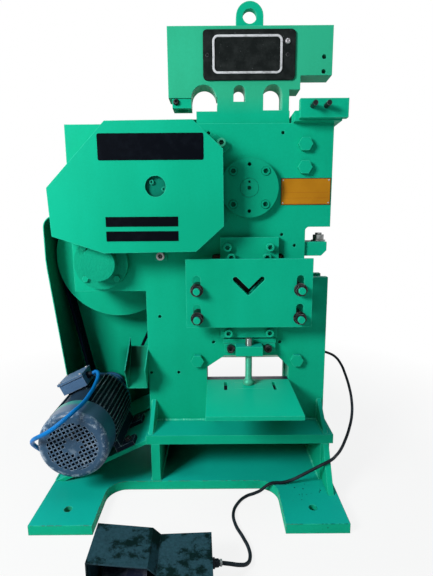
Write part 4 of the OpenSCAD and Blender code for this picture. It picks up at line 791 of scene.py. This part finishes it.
octagon_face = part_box("gear_guard")[0].y
panel_t = 0.0006
wide_panel = (-0.2405, 0.044, 0.9735, 1.043)
upper_strip = (-0.228, -0.028, 0.797, 0.824)
lower_strip = (-0.228, -0.028, 0.757, 0.7845)
panels = bmesh.new()
for edges, corner in ((wide_panel, 0.005), (upper_strip, 0.001), (lower_strip, 0.001)):
    add_panel(panels, *edges, octagon_face, panel_t, corner)
panel_black, tree, shader = new_material("panel_black", 0.02)
panel_wear = ranged(tree, noise(tree, 30, 6, 0.7), 0.5, 0.72)
panel_colour = mixed(tree, panel_wear, (0.0016, 0.0026, 0.0050, 1), (0.004, 0.006, 0.010, 1))
feed(tree, shader.inputs, {
    "Base Color": panel_colour,
    "Roughness": ranged(tree, panel_wear, 0, 1, 0.5, 0.65),
    "Normal": bump(tree, noise(tree, 400, 2), 0.05, 0.001, rounded(tree, 0.0006))})
finish_piece(panels, "guard_panels", panel_black, "frame")

# The name plate: cast iron painted black, its raised border polished bright, with bare
# ground inside. One bright screw holds it, and two dark plugs fill its other holes.
plate_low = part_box("name_plate")[0]
border_back = plate_low.y + 0.003
material, tree, shader = new_material("cast_name_plate", 0.05)
raised = ranged(tree, object_axis(tree, "Y"), border_back - 0.0004, border_back - 0.0008)
rubbed_shine = calc(tree, "MULTIPLY", raised, ranged(tree, noise(tree, 60, 5, 0.65), 0.28, 0.5, 0.45, 1.0))
plate_tone = ranged(tree, noise(tree, 34, 6, 0.7), 0.42, 0.68)
plate_ground = mixed(tree, plate_tone, (0.006, 0.0085, 0.0085, 1), (0.018, 0.022, 0.022, 1))
flecks = ranged(tree, noise(tree, 210, 3, 0.6), 0.70, 0.74, 0, 0.5)
plate_ground = mixed(tree, flecks, plate_ground, (0.25, 0.27, 0.28, 1))
feed(tree, shader.inputs, {
    "Base Color": mixed(tree, rubbed_shine, plate_ground, (0.55, 0.57, 0.60, 1)),
    "Metallic": calc(tree, "MULTIPLY", rubbed_shine, 0.35),
    "Roughness": ranged(tree, plate_tone, 0, 1, 0.42, 0.6),
    "Normal": bump(tree, noise(tree, 240, 4, 0.6), 0.25, 0.002, rounded(tree, 0.0025))})
paint_nodes(material, "name_plate")
to_front = Matrix.Rotation(math.radians(90), 4, "X")


def screw_profile(radius, height):
    """A button head with a round socket."""
    return [(radius, 0), (radius, 0.3 * height), (0.88 * radius, 0.75 * height), (0.66 * radius, height),
            (0.46 * radius, height), (0.44 * radius, 0.3 * height)]


plate_face = plate_low.y + 0.0035
plate_screw_spot = (0.2816, 1.309)
plug_spots = ((0.2824, 1.2745), (0.0542, 1.2743))
plate_screw = bmesh.new()
screw_seat = Matrix.Translation((plate_screw_spot[0], plate_face, plate_screw_spot[1])) @ to_front
add_lathe(plate_screw, screw_profile(0.008, 0.005), screw_seat)
finish_piece(plate_screw, "name_plate_screw", zinc_steel, "ram")
plate_plugs = bmesh.new()
for x, z in plug_spots:
    plug_seat = Matrix.Translation((x, plate_face, z)) @ to_front
    add_lathe(plate_plugs, screw_profile(0.0055, 0.0012), plug_seat)
finish_piece(plate_plugs, "name_plate_plugs", black_steel, "ram")
holder_low, holder_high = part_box("punch_holder")
holder_screw = bmesh.new()
add_lathe(holder_screw, screw_profile(0.009, 0.008),
          Matrix.Translation((holder_low.x + 0.011, holder_low.y, holder_high.z - 0.0105)) @ to_front)
finish_piece(holder_screw, "punch_holder_screw", black_steel, "ram")

# The data plate: a thin printed sheet in orange-yellow with a dark border and blank
# ruled lines, riveted at its corners.
data_low, data_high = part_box("data_plate")
material, tree, shader = new_material("data_plate_yellow", 0.15)
across = object_axis(tree, "X")
upright = object_axis(tree, "Z")
from_side = calc(tree, "MINIMUM", calc(tree, "SUBTRACT", across, data_low.x),
                 calc(tree, "SUBTRACT", data_high.x, across))
from_end = calc(tree, "MINIMUM", calc(tree, "SUBTRACT", upright, data_low.z),
                calc(tree, "SUBTRACT", data_high.z, upright))
from_edge = calc(tree, "MINIMUM", from_side, from_end)
ruling = 0.008
ruled_top = data_low.z + 0.036
border_w = 0.0022
ruled = calc(tree, "PINGPONG", calc(tree, "SUBTRACT", upright, data_low.z + ruling / 2), ruling)
lower_half = ranged(tree, upright, ruled_top + 0.001, ruled_top)
ruled = calc(tree, "MULTIPLY", ranged(tree, ruled, 0.0006, 0.0003), lower_half)
ruled = calc(tree, "MULTIPLY", ruled, ranged(tree, from_side, 0.007, 0.0075, 0, 0.55))
plate_tone = ranged(tree, noise(tree, 12, 3), 0.35, 0.65)
plate_print = mixed(tree, plate_tone, (0.42, 0.17, 0.005, 1), (0.49, 0.21, 0.008, 1))
plate_print = mixed(tree, ruled, plate_print, (0.30, 0.05, 0.01, 1))
border = ranged(tree, from_edge, border_w, border_w - 0.0006)
plate_print = mixed(tree, border, plate_print, (0.03, 0.02, 0.012, 1))
feed(tree, shader.inputs, {
    "Base Color": plate_print,
    "Roughness": ranged(tree, plate_tone, 0, 1, 0.35, 0.5)})
paint_nodes(material, "data_plate")
rivet_in = 0.006
rivets = bmesh.new()
for x in (data_low.x + rivet_in, data_high.x - rivet_in):
    for z in (data_low.z + rivet_in, data_high.z - rivet_in):
        add_lathe(rivets, [(0.0022, 0), (0.0021, 0.0006), (0.0015, 0.0012), (0.0005, 0.0014)],
                  Matrix.Translation((x, data_low.y, z)) @ to_front, 14)
finish_piece(rivets, "data_plate_rivets", zinc_steel, "frame")

# The motor: cast fins in navy paint, a pressed cowl and a terminal box in grey-blue. The fins'
# edges carry a painted highlight and the gaps between them painted shade, and the end shield and
# pulley are painted brighter than their navy, a painted light in their shade. The cowl's rim and
# lower grille are rubbed to bare metal with painted glints, and jade overspray lies along its back edge.
motor_axis = Vector((-0.32571, 0, 0.19754))
motor_tilt = math.radians(25.5)
motor_place = Matrix.Translation(motor_axis) @ Matrix.Rotation(-motor_tilt, 4, "Y")
motor_paint = {"paint": (0.10, 0.20, 0.36, 1), "deep": (0.060, 0.125, 0.23, 1),
               "pale": (0.30, 0.36, 0.42, 1), "dust": (0.10, 0.17, 0.27, 1),
               "bare": (0.36, 0.38, 0.39, 1)}
cast_round = 0.0015
terminal_enamel = enamel("terminal_enamel", cast_round, wear=0.75, grime=0.0, **motor_paint)
paint_nodes(terminal_enamel, "terminal_box")
fin_paint = {"paint": (0.010, 0.026, 0.050, 1), "deep": (0.004, 0.011, 0.022, 1),
             "pale": (0.40, 0.54, 0.58, 1), "dust": (0.02, 0.045, 0.075, 1),
             "bare": (0.003, 0.005, 0.008, 1)}
paint_nodes(enamel("fin_enamel", 0.0008, wear=0.3, grime=1.0, **fin_paint), "motor_body")
lit_shield_paint = {"paint": (0.035, 0.20, 0.42, 1), "deep": (0.022, 0.13, 0.28, 1),
                "pale": (0.08, 0.15, 0.24, 1), "dust": (0.02, 0.06, 0.13, 1),
                "bare": (0.01, 0.015, 0.03, 1)}
shield_enamel = enamel("shield_enamel", cast_round, wear=0.3, grime=0.6, **lit_shield_paint)
paint_nodes(shield_enamel, "motor_shields", "motor_pulley")
cowl_low, cowl_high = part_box("fan_cowl")
cowl_front = cowl_low.y
cowl_back = cowl_high.y
rim_r = (0.081, 0.087)
grille_r = (0.076, 0.070)
material, tree, shader = new_material("worn_cowl", 0.22)
in_motor = shader_node(tree, "Mapping", {"Vector": shader_node(tree, "TexCoord").outputs["Object"],
                                         "Location": motor_axis, "Rotation": (0, -motor_tilt, 0)},
                       vector_type="TEXTURE").outputs[0]
motor_x, motor_y, motor_z = shader_node(tree, "SeparateXYZ", {0: in_motor}).outputs
flat = shader_node(tree, "CombineXYZ", {0: motor_x, 2: motor_z}).outputs[0]
from_axis = shader_node(tree, "VectorMath", {0: flat}, operation="LENGTH").outputs["Value"]
cowl_paint = {**motor_paint, "paint": (0.042, 0.106, 0.200, 1), "deep": (0.022, 0.064, 0.122, 1),
              "pale": (0.20, 0.28, 0.38, 1), "bare": (0.22, 0.30, 0.40, 1)}
paint = enamel_look(tree, wear=0.8, grime=0.0, **cowl_paint)
# The rim and the lower grille turn a light blue-grey: rubbed bare metal together with painted glints.
rim = calc(tree, "MULTIPLY", ranged(tree, motor_y, cowl_front + 0.016, cowl_front + 0.010),
           ranged(tree, from_axis, *rim_r))
grille = calc(tree, "MULTIPLY", ranged(tree, from_axis, *grille_r),
              ranged(tree, motor_z, 0.02, -0.05, 0.05, 0.7))
rim = calc(tree, "MULTIPLY", rim, ranged(tree, noise(tree, 52, 9, 0.8), 0.50, 0.57))
grille = calc(tree, "MULTIPLY", grille, ranged(tree, noise(tree, 34, 6, 0.7), 0.52, 0.64))
rubbed_shine = calc(tree, "MULTIPLY", calc(tree, "MAXIMUM", rim, grille), 0.8)
near_back = ranged(tree, motor_y, cowl_back - 0.030, cowl_back - 0.014)
on_top = ranged(tree, motor_z, 0.066, 0.085)
overspray = calc(tree, "MULTIPLY", calc(tree, "MULTIPLY", near_back, on_top),
                 ranged(tree, noise(tree, 20, 4), 0.36, 0.52))
yellowed = calc(tree, "MULTIPLY", overspray, ranged(tree, motor_x, -0.022, -0.045))
cowl_colour = mixed(tree, overspray, paint["Colour"], (0.015, 0.26, 0.22, 1))
cowl_colour = mixed(tree, yellowed, cowl_colour, (0.42, 0.48, 0.22, 1))
cowl_colour = mixed(tree, rubbed_shine, cowl_colour, (0.33, 0.42, 0.52, 1))
feed(tree, shader.inputs, {
    "Base Color": cowl_colour,
    "Roughness": calc(tree, "SUBTRACT", paint["Roughness"], 0.12),
    "Normal": bump(tree, paint["Height"], 0.08, 0.003, rounded(tree, sheet_round))})
paint_nodes(material, "fan_cowl")
lid_top = 0.141
lid_xs = (-0.036, 0.036)
lid_ys = (-0.071, -0.009)
lid_screws = bmesh.new()
for a in lid_xs:
    for y in lid_ys:
        seat = motor_place @ Matrix.Translation((a, y, lid_top))
        add_lathe(lid_screws, screw_profile(0.0045, 0.003), seat, 18)
finish_piece(lid_screws, "terminal_lid_screws", zinc_steel, "frame")
foot_top = -0.098
foot_xs = (-0.096, 0.096)
foot_ys = (-0.129, 0.004)
foot_bolts = bmesh.new()
for a in foot_xs:
    for y in foot_ys:
        seat = motor_place @ Matrix.Translation((a, y, foot_top))
        add_lathe(foot_bolts, [(0.012, 0), (0.012, 0.002)], seat, 24)
        add_lathe(foot_bolts, [(0.0095, 0.002), (0.0095, 0.0085), (0.0080, 0.0100)], seat, 6)
finish_piece(foot_bolts, "motor_foot_bolts", black_steel, "frame")

# The control box: folded steel painted with the frame, its side cover held by four
# screws, with a green push button and a red mushroom button.
box_low, box_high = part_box("control_box")
to_right = Matrix.Rotation(math.radians(90), 4, "Y")
corner_in = 0.010
cover_screws = bmesh.new()
for y in (box_low.y + corner_in, box_high.y - corner_in):
    for z in (box_low.z + corner_in, box_high.z - corner_in):
        seat = Matrix.Translation((box_high.x, y, z)) @ to_right
        add_lathe(cover_screws, screw_profile(0.005, 0.003), seat, 18)
finish_piece(cover_screws, "control_cover_screws", zinc_steel, "frame")
for node_name, first, second in (("start_button", (0.02, 0.28, 0.04, 1), (0.03, 0.36, 0.06, 1)),
                                 ("stop_button", (0.50, 0.015, 0.010, 1), (0.60, 0.020, 0.012, 1))):
    material, tree, shader = new_material(node_name + "_plastic")
    button_tone = ranged(tree, noise(tree, 40, 3), 0.35, 0.65)
    feed(tree, shader.inputs, {
        "Base Color": mixed(tree, button_tone, first, second),
        "Roughness": ranged(tree, button_tone, 0, 1, 0.28, 0.4),
        "Normal": rounded(tree, 0.0012)})
    paint_nodes(material, node_name)

# The foot switch: folded sheet under black paint, dull with dust in patches, with a
# pale sealing ring where its cable comes out. Its treadle is worn bare metal, painted paler as a
# painted light where it lies in the hood's shade.
material, tree, shader = new_material("dusty_black_paint", 0.06)
blotches = ranged(tree, noise(tree, 15, 7, 0.72), 0.44, 0.51)
dust = calc(tree, "MULTIPLY", blotches, ranged(tree, noise(tree, 150, 4, 0.7), 0.3, 0.6, 0.55, 1.0))
pedal_edge = ranged(tree, edge_turn(tree, 0.002), 0.99, 0.8, 0, 0.5)
pedal_colour = mixed(tree, dust, (0.003, 0.012, 0.013, 1), (0.023, 0.068, 0.092, 1))
pedal_colour = mixed(tree, pedal_edge, pedal_colour, (0.06, 0.10, 0.13, 1))
feed(tree, shader.inputs, {
    "Base Color": pedal_colour,
    "Roughness": ranged(tree, dust, 0, 1, 0.4, 0.75),
    "Normal": bump(tree, noise(tree, 260, 3), 0.1, 0.002, rounded(tree, 0.0015))})
paint_nodes(material, "pedal_base", "pedal_hood")
worn_lit_tread = worked_metal("worn_lit_tread", (0.035, 0.045, 0.095, 1), (0.30, 0.32, 0.38, 1), 0.9, 0.1, 0.8)
paint_nodes(worn_lit_tread, "treadle")
cable_end = Vector(pedal_route[-1]) / 1000
cable_turn = math.radians(2.5)
ring_place = Matrix.Translation(cable_end) @ Matrix.Rotation(cable_turn, 4, "Z") @ to_right
sealing_ring = bmesh.new()
add_lathe(sealing_ring, [(0.0068, -0.0005), (0.0078, 0.0005), (0.0078, 0.0035), (0.0066, 0.0050)],
          ring_place, 24)
material, tree, shader = new_material("pale_nylon")
ring_tone = ranged(tree, noise(tree, 90, 4), 0.35, 0.65)
feed(tree, shader.inputs, {
    "Base Color": mixed(tree, ring_tone, (0.55, 0.56, 0.55, 1), (0.72, 0.73, 0.72, 1)),
    "Roughness": ranged(tree, ring_tone, 0, 1, 0.4, 0.6)})
finish_piece(sealing_ring, "pedal_sealing_ring", material, "frame")
